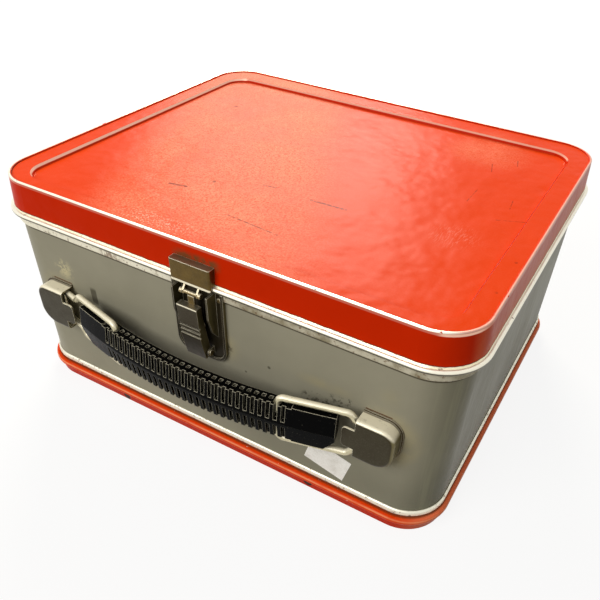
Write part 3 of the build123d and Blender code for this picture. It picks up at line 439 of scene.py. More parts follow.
def embossed(tree, height, normal=None):
    """Normal that shows a height given in millimetres."""
    inputs = {"Height": height, "Distance": MM, "Strength": 1.0}
    if normal is not None:
        inputs["Normal"] = normal
    return add(tree, "ShaderNodeBump", {}, inputs)


def dress(tree, shader, base, roughness, normal):
    """Give colour, roughness and relief to a shader."""
    for place, value in (("Base Color", base), ("Roughness", roughness), ("Normal", normal)):
        if isinstance(value, bpy.types.NodeSocket):
            tree.links.new(value, shader.inputs[place])
        else:
            shader.inputs[place].default_value = value


# Finishes


def lid_enamel(paint):
    """Sprayed enamel on pressed tinplate: glossy orange with peel, faintly scuffed, with painted highlight in
    a pale band and on the right side, painted shade on the sides and in seams, and rims worn bright with
    painted highlight.
    """
    material, tree, shader, where = begin("enamel_on_tinplate_lid")
    x, y, z = axes(tree, where)
    outside = outline_distance(tree, where)
    across, toward, facing = heading(tree)
    top = between(tree, facing, 0.8, OPEN, 0.1)

    # Painted highlight: the enamel is painted pale in a broad slanting band and in a patch at the back, where
    # its gloss catches the light, and it is faintly scuffed pale everywhere. The pale layer is grainy, with
    # specks that are coarser than real ones so that they show.
    slant = add(tree, "ShaderNodeMath", {"operation": "MULTIPLY_ADD"}, {0: y, 1: SHEEN_SLANT, 2: x})
    clouds = flecks(tree, where, 45.0, 0.36, 0.62)
    uneven = add(tree, "ShaderNodeMapRange", {}, {"Value": clouds, "To Min": 0.45})
    band = between(tree, slant, -86.0, 4.0, 18.0)
    sheen = either(tree, [band, spot(tree, where, (62.0, 62.0, PANEL), 14.0, 12.0)])
    patches = both(tree, sheen, uneven)
    specks = flecks(tree, where, 0.7, 0.3, 0.7)
    faintly = add(tree, "ShaderNodeMath", {"operation": "ADD"}, {0: 0.05, 1: patches})
    rubbed = both(tree, both(tree, both(tree, faintly, specks), top), 0.95)
    # Painted shade: faces that don't look up take the darker enamel
    base = laid_over(tree, tuple(paint.enamel_shade), tuple(paint.enamel), top)
    # Painted highlight of the pale band, with the faint scuffs, laid over it
    base = laid_over(tree, base, tuple(paint.enamel_sheen_and_scuffs), rubbed)
    # Painted highlight on the faces turned to the right
    lit_flank = both(tree, between(tree, across, 0.88, OPEN, 0.08), flecks(tree, where, 12.0, 0.0, 0.5))
    base = laid_over(tree, base, ENAMEL_FLANK_HIGHLIGHT, both(tree, lit_flank, 0.25))

    # Painted highlight on the upper edge of the step down to the panel, strongest on the left and paler at
    # the back
    left_high = between(tree, z, LID_EDGE - 1.0, LID_EDGE, 0.15)
    left_step = both(tree, left_high, between(tree, across, 0.3, 0.97, 0.1))
    back_high = between(tree, z, LID_EDGE - 0.8, LID_EDGE, 0.15)
    back_step = both(tree, back_high, between(tree, toward, -0.97, -0.3, 0.1))
    step_highlight = either(tree, [both(tree, left_step, 0.9), both(tree, back_step, 0.7)])
    base = laid_over(tree, base, ENAMEL_STEP_HIGHLIGHT, step_highlight)

    # Scratches and small dark marks, broken where the enamel held
    bold = scratches(tree, where, BOLD_SCRATCHES) + [
        spot(tree, where, (-73.3, 39.8, PANEL), 1.2, 0.5),
        spot(tree, where, (-28.1, -40.1, PANEL), 0.9, 0.5),
    ]
    faint = scratches(tree, where, FAINT_SCRATCHES) + [
        spot(tree, where, (103.7, -34.7, LID_EDGE), 0.6, 0.3),
        spot(tree, where, (103.5, -57.4, LID_EDGE), 0.6, 0.3),
    ]
    broken = flecks(tree, where, 1.6, 0.35, 0.55)
    dark = either(tree, [both(tree, either(tree, bold), 0.8), both(tree, either(tree, faint), 0.5)])
    marks = both(tree, dark, broken)
    base = laid_over(tree, base, tuple(paint.enamel_dark), marks)

    # Pale scuffs: a patch of fine hair marks at the right and chips behind the front rim, and pale grains in
    # the band that belong to its painted highlight
    combed = add(tree, "ShaderNodeVectorMath", {"operation": "MULTIPLY"}, {0: where, 1: (1.0, 0.16, 1.0)})
    hairs = both(tree, flecks(tree, combed, 0.5, 0.5, 0.7), spot(tree, where, (77.0, -26.0, PANEL), 8.0, 6.0))
    chipped = spot(tree, where, (-24.0, -82.0, 104.0), 15.0, 9.0)
    chips = both(tree, chipped, flecks(tree, where, 0.7, 0.56, 0.64))
    chips = both(tree, chips, between(tree, y, -87.0, -76.0, 2.0))
    grains = both(tree, flecks(tree, where, 0.55, 0.63, 0.72), both(tree, top, patches))
    pale = either(tree, [both(tree, hairs, 0.15), both(tree, chips, 0.5), both(tree, grains, 0.35)])
    base = laid_over(tree, base, tuple(paint.bare), pale)

    # Dark patch in the rust colour over the latch
    soiled = both(tree, between(tree, x, -9.0, 11.0, 2.5), between(tree, z, 97.5, 101.2, 1.2))
    soiled = both(tree, soiled, between(tree, y, -OPEN, -85.0, 1.0))
    soiled = both(tree, soiled, flecks(tree, where, 2.5, 0.25, 0.55))
    base = laid_over(tree, base, tuple(paint.rust), both(tree, soiled, 0.9))

    # The raised rim and the hem bead are bright, partly worn to the tinplate and partly a painted highlight
    # where they face the light, the rim less at the right
    rim = both(tree, between(tree, z, LID_EDGE + 0.1, OPEN, 0.1), between(tree, outside, -0.85, OPEN, 0.1))
    kept = flecks(tree, where, 5.0, 0.66, 0.7)
    right = between(tree, x, 100.0, OPEN, 4.0)
    kept = add(tree, "ShaderNodeMath", {"operation": "MULTIPLY_ADD"}, {0: right, 1: 0.55, 2: kept})
    lost = add(tree, "ShaderNodeMath", {"operation": "SUBTRACT", "use_clamp": True}, {0: 1.0, 1: kept})
    ragged = add(
        tree,
        "ShaderNodeMath",
        {"operation": "MULTIPLY_ADD"},
        {0: flecks(tree, where, 4.0, 0.3, 0.7), 1: 0.3, 2: z},
    )
    hem = between(tree, ragged, -OPEN, HEM_TOP, 0.12)
    bright = either(tree, [both(tree, rim, lost), hem])
    base = laid_over(tree, base, tuple(paint.bare), bright)

    # Rust sits in chips of the worn rims, and painted shade lies in lines behind the front rim and over and
    # under the hem
    rusty = both(tree, both(tree, bright, flecks(tree, where, 2.2, 0.66, 0.72)), 0.8)
    base = laid_over(tree, base, tuple(paint.rust), rusty)
    behind = both(tree, between(tree, outside, -1.55, -1.15, 0.1), between(tree, y, -OPEN, -74.0, 8.0))
    over = between(tree, ragged, HEM_TOP, HEM_TOP + 0.35, 0.12)
    under = between(tree, z, -OPEN, HEM_FOLD, 0.12)
    lines = either(tree, [both(tree, behind, 0.6), both(tree, over, 0.8), both(tree, under, 0.9)])
    base = laid_over(tree, base, tuple(paint.seam_shade), lines)

    # The inside is bare tinplate: below the panel's sheet, up the wall to the rim, and all that looks down
    lean = FLARE / FLARE_HEIGHT
    slope = add(tree, "ShaderNodeMath", {"operation": "MULTIPLY_ADD"}, {0: z, 1: lean, 2: -lean * LID_EDGE})
    depth = add(tree, "ShaderNodeMath", {"operation": "ADD"}, {0: outside, 1: slope})
    below = both(tree, between(tree, depth, -OPEN, -0.4, 0.05), between(tree, z, -OPEN, PANEL - 0.4, 0.05))
    wall = both(tree, between(tree, depth, -3.0, -0.4, 0.05), between(tree, z, -OPEN, LID_EDGE - 0.5, 0.05))
    folds = both(tree, between(tree, depth, -OPEN, -0.4, 0.05), between(tree, facing, -OPEN, -0.2, 0.1))
    inside = either(tree, [below, wall, folds, between(tree, facing, -OPEN, -0.7, 0.1)])
    base = laid_over(tree, base, tuple(paint.silver), inside)

    # Metallic where the steel is bare. The stage is pure white in every gloss, so the specular level is set
    # far below that of real enamel, here and in the other finishes.
    rustless = add(tree, "ShaderNodeMath", {"operation": "SUBTRACT", "use_clamp": True}, {0: 0.75, 1: rusty})
    clean = both(tree, bright, rustless)
    metal = either(tree, [clean, both(tree, inside, 0.35), both(tree, left_step, 0.5)])
    tree.links.new(metal, shader.inputs["Metallic"])
    shader.inputs["Specular IOR Level"].default_value = 0.024
    gloss = add(tree, "ShaderNodeMapRange", {}, {"Value": patches, "To Min": 0.3, "To Max": 0.46})

    # Dents, buckled sheet, orange peel, fine grit, and what wear took off
    heights = [
        (spot(tree, where, (*place, PANEL), radius, soft), -deep) for place, radius, soft, deep in DENTS
    ]
    heights += [
        (flecks(tree, where, 60.0, 0.3, 0.7), 0.9),
        (flecks(tree, where, paint.peel / MM, 0.2, 0.8), 0.012),
        (flecks(tree, where, 0.45, 0.2, 0.8), 0.008),
        (marks, -0.01),
        (pale, -0.03),
        (rusty, -0.06),
    ]
    dress(tree, shader, base, gloss, embossed(tree, relief(tree, heights)))
    return material


def body_lacquer(paint):
    """Aluminium lacquer baked on tinplate: satin grey, yellowed round the fittings, with painted shade at the
    right end, low down and in the seams, and beads rubbed bright with painted highlight.
    """
    material, tree, shader, where = begin("silver_lacquer_on_tinplate")
    x, _, z = axes(tree, where)
    outside = outline_distance(tree, where)
    base = tuple(paint.silver)

    # Broad change of tone; painted shade at the right end and low down; and upright streaks on the right side
    tone = flecks(tree, where, 60.0, 0.3, 0.7)
    base = laid_over(tree, base, LACQUER_SHADE, both(tree, tone, 0.45))
    upright = add(tree, "ShaderNodeVectorMath", {"operation": "MULTIPLY"}, {0: where, 1: (1.0, 1.0, 0.06)})
    end = between(tree, x, 98.0, OPEN, 7.0)
    base = laid_over(tree, base, LACQUER_END_SHADE, both(tree, end, 0.55))
    low = both(tree, between(tree, z, -OPEN, 30.0, 14.0), between(tree, x, 20.0, OPEN, 20.0))
    base = laid_over(tree, base, LACQUER_LOW_SHADE, both(tree, low, 0.45))
    streaks = both(tree, flecks(tree, upright, 5.0, 0.5, 0.62), between(tree, x, 99.0, OPEN, 4.0))
    base = laid_over(tree, base, LACQUER_STREAK, both(tree, streaks, 0.25))

    # Yellowed halos round latch and brackets, one of them a flat smear
    flat = 4.0
    stretched = add(tree, "ShaderNodeVectorMath", {"operation": "MULTIPLY"}, {0: where, 1: (1.0, 1.0, flat)})
    halos = [
        spot(tree, where, (84.0, WALL, 49.5), 12.5, 4.0),
        spot(tree, where, (-82.0, WALL, 49.5), 12.0, 4.0),
        both(tree, spot(tree, stretched, (56.0, WALL, 63.0 * flat), 8.0, 9.0), 0.8),
        both(tree, spot(tree, where, (83.0, WALL, 70.0), 2.0, 5.0), 0.5),
        spot(tree, where, (10.0, WALL, 62.0), 6.0, 4.0),
    ]
    yellow = both(tree, either(tree, halos), flecks(tree, where, 8.0, 0.2, 0.55))
    base = laid_over(tree, base, tuple(paint.stain), both(tree, yellow, 0.7))

    # Pale deposit above the left bracket
    crust = flecks(tree, where, 1.8, 0.48, 0.56)
    deposit = both(tree, spot(tree, where, (-77.0, WALL, 67.5), 4.0, 3.0), crust)
    base = laid_over(tree, base, LACQUER_DEPOSIT, both(tree, deposit, 0.65))

    # Rust creeps out along the upper edges of the brackets
    creep = [
        scratch(tree, where, (74.5, WALL, 60.6), (85.0, WALL, 60.6), 0.35),
        scratch(tree, where, (-85.0, WALL, 60.6), (-74.5, WALL, 60.6), 0.35),
    ]
    base = laid_over(tree, base, LACQUER_CREEP, both(tree, either(tree, creep), 0.85))

    # Dark marks behind the handle, and fine upright scratches at the right
    scrape = scratch(tree, where, (50.0, WALL, 53.5), (66.0, WALL, 58.5), 4.0)
    marks = [
        both(tree, spot(tree, where, (-61.0, WALL, 58.5), 4.2, 1.0), between(tree, x, -62.8, -59.4, 0.3)),
        both(tree, scrape, flecks(tree, where, 2.0, 0.5, 0.6)),
        spot(tree, where, (31.7, WALL, 60.1), 0.7, 0.3),
        spot(tree, where, (20.4, WALL, 52.7), 0.5, 0.3),
        both(tree, spot(tree, where, (11.5, WALL, 61.5), 2.6, 1.2), flecks(tree, where, 1.2, 0.45, 0.55)),
    ]
    base = laid_over(tree, base, LACQUER_DARK_MARK, both(tree, either(tree, marks), 0.7))
    scores = [
        scratch(tree, where, (98.8, -89.0, 79.0), (100.2, -89.0, 66.0), 0.35),
        scratch(tree, where, (101.5, -88.6, 60.0), (103.0, -88.0, 50.0), 0.3),
        scratch(tree, where, (95.0, WALL, 72.0), (95.5, WALL, 64.0), 0.25),
    ]
    base = laid_over(tree, base, LACQUER_SCORE, both(tree, either(tree, scores), 0.5))

    # The foot bead is bright, partly rubbed and partly painted highlight, and the ridge only in places, most
    # at the left; the rest of the ridge is tan
    proud = between(tree, outside, -0.6, OPEN, 0.1)
    ridge = both(tree, proud, between(tree, z, *RIDGE, 1.0))
    foot = both(tree, proud, between(tree, z, *FOOT_BEAD, 1.0))
    base = laid_over(tree, base, tuple(paint.tan), both(tree, ridge, 0.9))
    base = laid_over(tree, base, tuple(paint.bare), both(tree, foot, 0.85))
    handled = both(tree, between(tree, x, -OPEN, -8.0, 10.0), flecks(tree, where, 3.0, 0.2, 0.4))
    places = both(tree, flecks(tree, where, 9.0, 0.35, 0.55), 0.5)
    polished_and_lit = both(tree, ridge, either(tree, [places, handled]))
    base = laid_over(tree, base, tuple(paint.bare), both(tree, polished_and_lit, 0.85))

    # Painted shade in the seams beside the beads, and rust in their chips
    seams = [between(tree, z, *seam) for seam in SHADED_SEAMS]
    base = laid_over(tree, base, tuple(paint.seam_shade), both(tree, either(tree, seams), 0.85))
    chipped = both(tree, either(tree, [ridge, foot]), flecks(tree, where, 1.8, 0.57, 0.64))
    rust = either(tree, [chipped, both(tree, ridge, spot(tree, where, (-44.0, WALL, 84.5), 5.0, 3.0))])
    rust = both(tree, rust, flecks(tree, where, 1.3, 0.4, 0.55))
    base = laid_over(tree, base, tuple(paint.rust), both(tree, rust, 0.7))

    gloss = add(tree, "ShaderNodeMapRange", {}, {"Value": tone, "To Min": 0.36, "To Max": 0.46})
    heights = [
        (flecks(tree, where, 50.0, 0.3, 0.7), 0.5),
        (flecks(tree, where, 0.5, 0.2, 0.8), 0.006),
        (rust, -0.05),
        (spot(tree, where, (-20.0, WALL, 70.0), 8.0, 10.0), -0.2),
    ]
    dress(tree, shader, base, gloss, embossed(tree, relief(tree, heights)))
    metal = either(tree, [both(tree, foot, 0.75), both(tree, polished_and_lit, 0.3)])
    tree.links.new(metal, shader.inputs["Metallic"])
    shader.inputs["Specular IOR Level"].default_value = 0.07
    return material


def base_enamel(paint):
    """The same sprayed enamel on the base pan: painted shade under its bead, painted highlight on its crest
    and right side, chipped, with two rust pits.
    """
    material, tree, shader, where = begin("enamel_on_tinplate_base")
    x, _, z = axes(tree, where)
    outside = outline_distance(tree, where)

    # Painted shade under the bead, and painted highlight along its crest and on the right side
    specks = flecks(tree, where, 0.8, 0.5, 0.8)
    skirt = between(tree, z, -OPEN, 4.7, 0.2)
    base = laid_over(tree, tuple(paint.enamel), tuple(paint.enamel_shade), both(tree, skirt, 0.9))
    base = laid_over(tree, base, tuple(paint.enamel_sheen_and_scuffs), both(tree, specks, 0.1))
    crest = both(tree, between(tree, z, 6.9, 7.5, 0.3), flecks(tree, where, 9.0, 0.1, 0.5))
    lit_flank = between(tree, x, 100.0, OPEN, 8.0)
    glow = either(tree, [both(tree, crest, 0.8), both(tree, lit_flank, 0.4)])
    base = laid_over(tree, base, ENAMEL_CREST_HIGHLIGHT, glow)

    # Rust pits, chips down to the bright tinplate, and a dark line in the rust colour in the seam to the body
    hole = either(tree, [spot(tree, where, place, PIT_RADIUS, 0.3) for place in PITS])
    base = laid_over(tree, base, ENAMEL_PIT, both(tree, hole, 0.95))
    chips = both(tree, flecks(tree, where, 2.6, 0.66, 0.7), between(tree, z, 4.5, 9.0, 0.5))
    base = laid_over(tree, base, tuple(paint.bare), both(tree, chips, 0.6))
    seam = both(tree, between(tree, z, 7.6, 9.0, 0.2), between(tree, outside, -0.8, 0.4, 0.3))
    base = laid_over(tree, base, tuple(paint.rust), both(tree, seam, 0.6))

    # The inside is bare tinplate
    upward = between(tree, heading(tree)[2], -0.5, OPEN, 0.1)
    inside = both(tree, between(tree, outside, -OPEN, -0.75, 0.05), upward)
    base = laid_over(tree, base, tuple(paint.silver), inside)
    tree.links.new(both(tree, inside, 0.35), shader.inputs["Metallic"])
    heights = [
        (flecks(tree, where, paint.peel / MM, 0.2, 0.8), 0.012),
        (hole, -0.1),
        (chips, -0.05),
    ]
    gloss = add(tree, "ShaderNodeMapRange", {}, {"Value": specks, "To Min": 0.32, "To Max": 0.42})
    dress(tree, shader, base, gloss, embossed(tree, relief(tree, heights)))
    shader.inputs["Specular IOR Level"].default_value = 0.05
    return material


def plated(name, metal, dull, bright, haze, film, above=1.0, lit_flank=0.0, wear=1.0, lip=None, seat=None):
    """Nickel on pressed steel: brown film on its faces, painted highlight on top and on faces to the right,
    and bright upper edges, partly rubbed and partly painted highlight.

    haze is the roughness and film the weight of the tarnish. above, wear and lit_flank say how far the
    painted highlight on faces that look up, the bright edges and the painted highlight on faces to the right
    differ from the dull ones. lip is the range of heights of a rolled edge that gets a painted highlight, and
    seat the range of y where the piece rusts on the wall.
    """
    material, tree, shader, where = begin(name)
    worn = edges(tree, metal.edge)
    cloud = flecks(tree, where, 6.0, 0.35, 0.7)
    base = laid_over(tree, dull, tuple(metal.tarnish), both(tree, cloud, film))
    fine = flecks(tree, where, 0.6, 0.5, 0.75)
    base = laid_over(tree, base, bright, both(tree, fine, 0.02))
    across, toward, facing = heading(tree)
    # Painted highlight: faces turned to the right take the olive nickel
    turned = between(tree, across, 0.5, OPEN, 0.2)
    base = laid_over(tree, base, tuple(metal.nickel_flank_highlight), both(tree, turned, lit_flank))
    # Painted highlight on faces that look up; the upper edges are bright, partly rubbed and partly painted
    # highlight
    level = both(tree, between(tree, facing, 0.5, OPEN, 0.2), flecks(tree, where, 3.0, 0.0, 0.4))
    rub = both(tree, both(tree, worn, flecks(tree, where, 3.0, 0.0, 0.35)), wear)
    shining = either(tree, [both(tree, level, above), rub])
    # Painted highlight along a rolled edge
    if lip:
        front = between(tree, toward, -OPEN, -0.5, 0.1)
        rolled = both(tree, between(tree, axes(tree, where)[2], *lip, 0.12), front)
        shining = either(tree, [shining, rolled])
    base = laid_over(tree, base, bright, both(tree, shining, 0.95))
    if seat:
        rusted = between(tree, axes(tree, where)[1], *seat, 0.15)
        base = laid_over(tree, base, SEAT_RUST, both(tree, rusted, 0.7))
    metallic = add(tree, "ShaderNodeMapRange", {}, {"Value": shining, "To Min": 0.8, "To Max": 0.15})
    tree.links.new(metallic, shader.inputs["Metallic"])
    rough = add(tree, "ShaderNodeMapRange", {}, {"Value": cloud, "To Min": haze, "To Max": haze + 0.15})
    rounded = add(tree, "ShaderNodeBevel", {"samples": 6}, {"Radius": metal.edge * 0.8})
    height = relief(tree, [(flecks(tree, where, 0.8, 0.3, 0.7), 0.01), (cloud, 0.02)])
    dress(tree, shader, base, rough, embossed(tree, height, rounded))
    return material


def grip_plastic(plastic):
    """Injection moulded black plastic: glossy, with a painted highlight line along its hard upper edges, and
    some dust.
    """
    material, tree, shader, where = begin("moulded_black_plastic")
    dust = both(tree, flecks(tree, where, 1.2, 0.66, 0.72), 0.12)
    base = laid_over(tree, tuple(plastic.grip), tuple(plastic.dust), dust)
    # Painted highlight along the upper edges, in the dust colour
    worn = both(tree, edges(tree, 0.38 * MM), flecks(tree, where, 2.5, 0.15, 0.4))
    base = laid_over(tree, base, tuple(plastic.dust), both(tree, worn, 0.9))
    cloud = flecks(tree, where, 3.0, 0.3, 0.7)
    rough = add(tree, "ShaderNodeMapRange", {}, {"Value": cloud, "To Min": 0.2, "To Max": 0.35})
    rounded = add(tree, "ShaderNodeBevel", {"samples": 6}, {"Radius": 0.35 * MM})
    height = relief(tree, [(flecks(tree, where, 1.0, 0.3, 0.7), 0.01)])
    dress(tree, shader, base, rough, embossed(tree, height, rounded))
    shader.inputs["Specular IOR Level"].default_value = 0.02
    return material


def moulded(name, shade, ribs=0.0):
    """Injection moulded plastic: satin, a little mottled, smooth or with ribs where it is gripped."""
    material, tree, shader, where = begin(name)
    mottle = flecks(tree, where, 12.0, 0.3, 0.7)
    base = laid_over(tree, shade, PLASTIC_MOTTLE, both(tree, mottle, 0.12))
    heights = [(flecks(tree, where, 0.5, 0.2, 0.8), 0.01)]
    if ribs:
        y = axes(tree, where)[1]
        wave = add(tree, "ShaderNodeMath", {"operation": "PINGPONG"}, {0: y, 1: ribs})
        heights.append((wave, RIB_SLOPE))
    dress(tree, shader, base, 0.35, embossed(tree, relief(tree, heights)))
    return material


def shell_enamel(plastic, paint):
    """Enamel on the flask's rolled steel shell: grey with two plain orange bands."""
    material, tree, shader, where = begin("enamel_on_flask_shell")
    y = axes(tree, where)[1]
    bands = either(tree, [between(tree, y, *band, 0.1) for band in FLASK_BANDS])
    base = laid_over(tree, tuple(plastic.flask), tuple(paint.enamel), bands)
    base = laid_over(tree, base, tuple(paint.rust), both(tree, flecks(tree, where, 3.0, 0.68, 0.72), 0.6))
    height = relief(tree, [(flecks(tree, where, 1.0, 0.2, 0.8), 0.01)])
    dress(tree, shader, base, 0.32, embossed(tree, height))
    return material


def silvered_glass():
    """Blown glass silvered behind: smooth and mirror bright, with faint waves from blowing."""
    material, tree, shader, where = begin("silvered_glass")
    heights = [(flecks(tree, where, 20.0, 0.3, 0.7), 0.3)]
    dress(tree, shader, GLASS_SILVER, 0.08, embossed(tree, relief(tree, heights)))
    shader.inputs["Metallic"].default_value = 1.0
    shader.inputs["Coat Weight"].default_value = 1.0
    return material


def soft_rubber():
    """Moulded natural rubber: matt and dusty brown grey."""
    material, tree, shader, where = begin("moulded_rubber")
    dust = flecks(tree, where, 1.5, 0.4, 0.7)
    base = laid_over(tree, RUBBER, RUBBER_DUST, both(tree, dust, 0.4))
    dress(tree, shader, base, 0.8, embossed(tree, relief(tree, [(dust, 0.02)])))
    return material


def sticker_paper(plastic):
    """Uncoated label paper: matt, slightly fibrous, soiled in places."""
    material, tree, shader, where = begin("uncoated_paper")
    fibres = flecks(tree, where, 0.7, 0.35, 0.7)
    base = laid_over(tree, tuple(plastic.paper), PAPER_FIBRE, both(tree, fibres, 0.3))
    soiled = both(tree, flecks(tree, where, 6.0, 0.5, 0.75), 0.25)
    base = laid_over(tree, base, PAPER_SOIL, soiled)
    dress(tree, shader, base, 0.85, embossed(tree, relief(tree, [(fibres, 0.02)])))
    return material


# Pieces


def cover(nodes, material):
    """Give CAD nodes a finish."""
    for name in nodes:
        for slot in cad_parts[name].material_slots:
            slot.material = material


class LUNCHBOX_OT_lid(bpy.types.Operator):
    """Finish the lid with worn orange enamel"""

    bl_idname = "lunchbox.lid"
    bl_label = "Finish the lid"

    def execute(self, context):
        cover(["lid"], lid_enamel(context.scene.lunchbox_paint))
        return {"FINISHED"}


class LUNCHBOX_OT_body(bpy.types.Operator):
    """Finish the body band and the base pan"""

    bl_idname = "lunchbox.body"
    bl_label = "Finish body and base"

    def execute(self, context):
        paint = context.scene.lunchbox_paint
        cover(["body_band"], body_lacquer(paint))
        cover(["base_pan"], base_enamel(paint))
        return {"FINISHED"}


class LUNCHBOX_OT_fittings(bpy.types.Operator):
    """Finish latch, brackets, hinges, rivets and wire"""

    bl_idname = "lunchbox.fittings"
    bl_label = "Finish the fittings"

    def execute(self, context):
        metal = context.scene.lunchbox_metal
        dull = tuple(metal.nickel_dull)
        bright = tuple(metal.nickel_bright)
        dark = tuple(metal.nickel_dark)
        brownish = tuple(metal.nickel_brown)
        wiry = tuple(metal.nickel_wire)
        zinc = tuple(metal.steel)
        latch = {"haze": 0.34, "film": 0.5, "lit_flank": 0.6}
        catch = plated("tarnished_nickel_catch", metal, dull, bright, 0.3, 0.45, above=0.12, lip=CATCH_LIP)
        black = plated("blackened_nickel_latch", metal, dark, bright, above=0.1, wear=0.6, **latch)
        lever = plated(
            "blackened_nickel_lever", metal, dark, bright, above=0.15, wear=0.35, lip=LEVER_LIP, **latch
        )
        hood = plated("blackened_nickel_hood", metal, HOOD_FILM, bright, 0.34, 0.5, lit_flank=0.5, seat=HOOD_SEAT)
        brown = plated("browned_nickel_fittings", metal, brownish, bright, 0.28, 0.5, above=0.4)
        wire = plated("rubbed_nickel_wire", metal, wiry, bright, 0.25, 0.3)
        steel = plated("zinc_plated_steel", metal, zinc, ZINC_BRIGHT, 0.38, 0.6)
        cover(["latch_catch"], catch)
        cover(["latch_plate", "latch_spring"], black)
        cover(["latch_lever"], lever)
        cover(["bracket_left", "bracket_right"], hood)
        cover(["latch_hook", "latch_strike", "latch_pin", "latch_rivets", "catch_rivets"], brown)
        cover(["left_bail", "right_bail"], wire)
        cover(["hinge_leaves_body", "hinge_leaves_lid", "hinge_pins"], steel)
        cover(["hinge_rivets_body", "hinge_rivets_lid", "clamp_rivets", "clamp_ears", "flask_clamp"], steel)
        return {"FINISHED"}


class LUNCHBOX_OT_grip(bpy.types.Operator):
    """Finish the moulded grip and the price sticker"""

    bl_idname = "lunchbox.grip"
    bl_label = "Finish grip and sticker"

    def execute(self, context):
        plastic = context.scene.lunchbox_plastic
        cover(["handle_grip"], grip_plastic(plastic))
        cover(["price_sticker"], sticker_paper(plastic))
        return {"FINISHED"}


class LUNCHBOX_OT_flask(bpy.types.Operator):
    """Finish the vacuum flask"""

    bl_idname = "lunchbox.flask"
    bl_label = "Finish the flask"

    def execute(self, context):
        plastic = context.scene.lunchbox_plastic
        cover(["flask_cup"], moulded("moulded_cup_plastic", tuple(plastic.cup), CUP_RIBS))
        cover(["flask_base"], moulded("moulded_foot_plastic", tuple(plastic.cup)))
        cover(["flask_collar", "stopper"], moulded("moulded_collar_plastic", tuple(plastic.collar)))
        cover(["flask_shell"], shell_enamel(plastic, context.scene.lunchbox_paint))
        cover(["glass_liner"], silvered_glass())
        cover(["liner_cushion", "neck_gasket"], soft_rubber())
        return {"FINISHED"}


def looked_at(tree):
    """Mask of the rays that look, straight, mirrored or through glass, and don't bring soft light."""
    rays = add(tree, "ShaderNodeLightPath", {}, {}).node.outputs
    return either(tree, [rays["Is Camera Ray"], rays["Is Glossy Ray"], rays["Is Transmission Ray"]])


def area_lamp(name, place, aim, width, height, power, tint):
    """Soft rectangular lamp that looks at a point."""
    lamp = bpy.data.lights.new(name, "AREA")
    lamp.shape = "RECTANGLE"
    lamp.size = width
    lamp.size_y = height
    lamp.energy = power
    lamp.color = tint
    held = bpy.data.objects.new(name, lamp)
    held.location = place
    held.rotation_euler = (Vector(aim) - Vector(place)).to_track_quat("-Z", "Y").to_euler()
    bpy.context.scene.collection.objects.link(held)


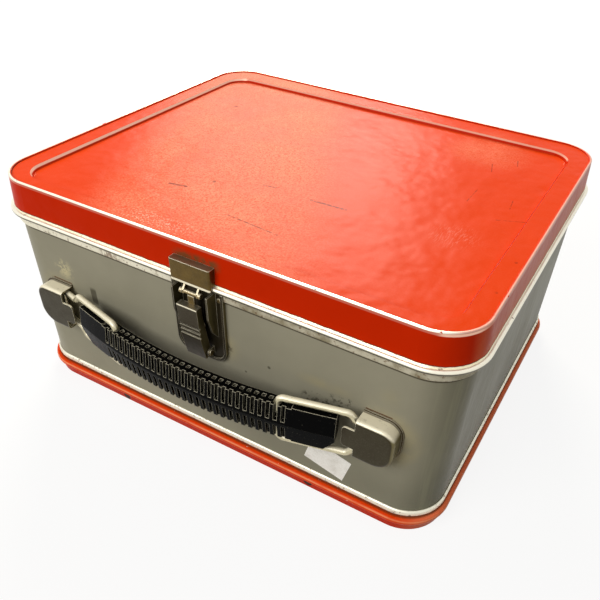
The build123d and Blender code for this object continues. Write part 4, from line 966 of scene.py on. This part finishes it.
class LUNCHBOX_OT_stage(bpy.types.Operator):
    """Set camera, lamps, sky and floor"""

    bl_idname = "lunchbox.stage"
    bl_label = "Set the stage"

    def execute(self, context):
        scene = context.scene
        stage = scene.lunchbox_stage
        lens = bpy.data.cameras.new("camera")
        lens.lens = stage.lens
        lens.sensor_width = 36.0
        lens.shift_x, lens.shift_y = stage.shift
        lens.clip_start = 0.01
        camera = bpy.data.objects.new("camera", lens)
        place = Vector(stage.camera_place)
        level = (Vector(stage.camera_aim) - place).to_track_quat("-Z", "Y").to_matrix()
        camera.matrix_world = Matrix.Translation(place) @ (
            level @ Matrix.Rotation(stage.camera_roll, 3, "Z")
        ).to_4x4()
        scene.collection.objects.link(camera)
        scene.camera = camera

        floor_shape = bmesh.new()
        bmesh.ops.create_grid(floor_shape, x_segments=1, y_segments=1, size=FLOOR_REACH)
        mesh = bpy.data.meshes.new("floor")
        floor_shape.to_mesh(mesh)
        floor_shape.free()
        floor = bpy.data.objects.new("floor", mesh)
        scene.collection.objects.link(floor)

        # Matt paper floor that looks white to the lens and in the gloss, and keeps the shadow
        paper = bpy.data.materials.new("white_paper_floor")
        paper.use_nodes = True
        tree = paper.node_tree
        tree.nodes.clear()
        seen = looked_at(tree)
        shade = laid_over(tree, FLOOR_SOFT, FLOOR_SEEN, seen)
        matt = add(tree, "ShaderNodeBsdfDiffuse", {}, {"Color": shade})
        glow = add(tree, "ShaderNodeEmission", {}, {"Color": WHITE, "Strength": 1.0})
        mostly = both(tree, seen, 0.88)
        shown = add(tree, "ShaderNodeMixShader", {}, {0: mostly, 1: matt, 2: glow})
        add(tree, "ShaderNodeOutputMaterial", {}, {"Surface": shown})
        mesh.materials.append(paper)

        # Even sky that lights softly and looks white
        world = bpy.data.worlds.new("soft_sky")
        scene.world = world
        world.use_nodes = True
        air = world.node_tree
        air.nodes.clear()
        light = add(air, "ShaderNodeBackground", {}, {"Color": SKY_WARM, "Strength": stage.sky})
        clear = add(air, "ShaderNodeBackground", {}, {"Color": WHITE, "Strength": 1.0})
        shown = add(air, "ShaderNodeMixShader", {}, {0: looked_at(air), 1: light, 2: clear})
        add(air, "ShaderNodeOutputWorld", {}, {"Surface": shown})

        # Warm window behind the box to the left, and a broad weak lamp before it
        area_lamp(
            "window_lamp",
            place=(-0.59, 0.95, 0.77),
            aim=(0.0, 0.0, 0.1),
            width=0.6,
            height=0.5,
            power=stage.window,
            tint=(1.0, 0.94, 0.82),
        )
        area_lamp(
            "fill_lamp",
            place=(-0.35, -1.1, 0.85),
            aim=(0.0, 0.0, 0.05),
            width=0.9,
            height=0.7,
            power=stage.fill,
            tint=(1.0, 0.98, 0.95),
        )
        scene.view_settings.view_transform = "Standard"
        return {"FINISHED"}


OPERATORS = (
    LUNCHBOX_OT_lid,
    LUNCHBOX_OT_body,
    LUNCHBOX_OT_fittings,
    LUNCHBOX_OT_grip,
    LUNCHBOX_OT_flask,
    LUNCHBOX_OT_stage,
)
SETTINGS = {
    "lunchbox_paint": PaintSettings,
    "lunchbox_metal": MetalSettings,
    "lunchbox_plastic": PlasticSettings,
    "lunchbox_stage": StageSettings,
}


class LUNCHBOX_PT_panel(bpy.types.Panel):
    """Buttons and settings of the lunch box"""

    bl_idname = "LUNCHBOX_PT_panel"
    bl_label = "Lunch box"
    bl_space_type = "VIEW_3D"
    bl_region_type = "UI"
    bl_category = "Lunch box"

    def draw(self, context):
        layout = self.layout
        for operator in OPERATORS:
            layout.operator(operator.bl_idname)
        for name, group in SETTINGS.items():
            box = layout.box()
            for field in group.__annotations__:
                box.prop(getattr(context.scene, name), field)


def register():
    for group in SETTINGS.values():
        bpy.utils.register_class(group)
    for operator in OPERATORS:
        bpy.utils.register_class(operator)
    bpy.utils.register_class(LUNCHBOX_PT_panel)
    for name, group in SETTINGS.items():
        setattr(bpy.types.Scene, name, bpy.props.PointerProperty(type=group))


def unregister():
    for name in SETTINGS:
        delattr(bpy.types.Scene, name)
    bpy.utils.unregister_class(LUNCHBOX_PT_panel)
    for operator in reversed(OPERATORS):
        bpy.utils.unregister_class(operator)
    for group in reversed(list(SETTINGS.values())):
        bpy.utils.unregister_class(group)


def main():
    register()
    bpy.ops.lunchbox.lid()
    bpy.ops.lunchbox.body()
    bpy.ops.lunchbox.fittings()
    bpy.ops.lunchbox.grip()
    bpy.ops.lunchbox.flask()
    bpy.ops.lunchbox.stage()


if __name__ == "__main__":
    main()
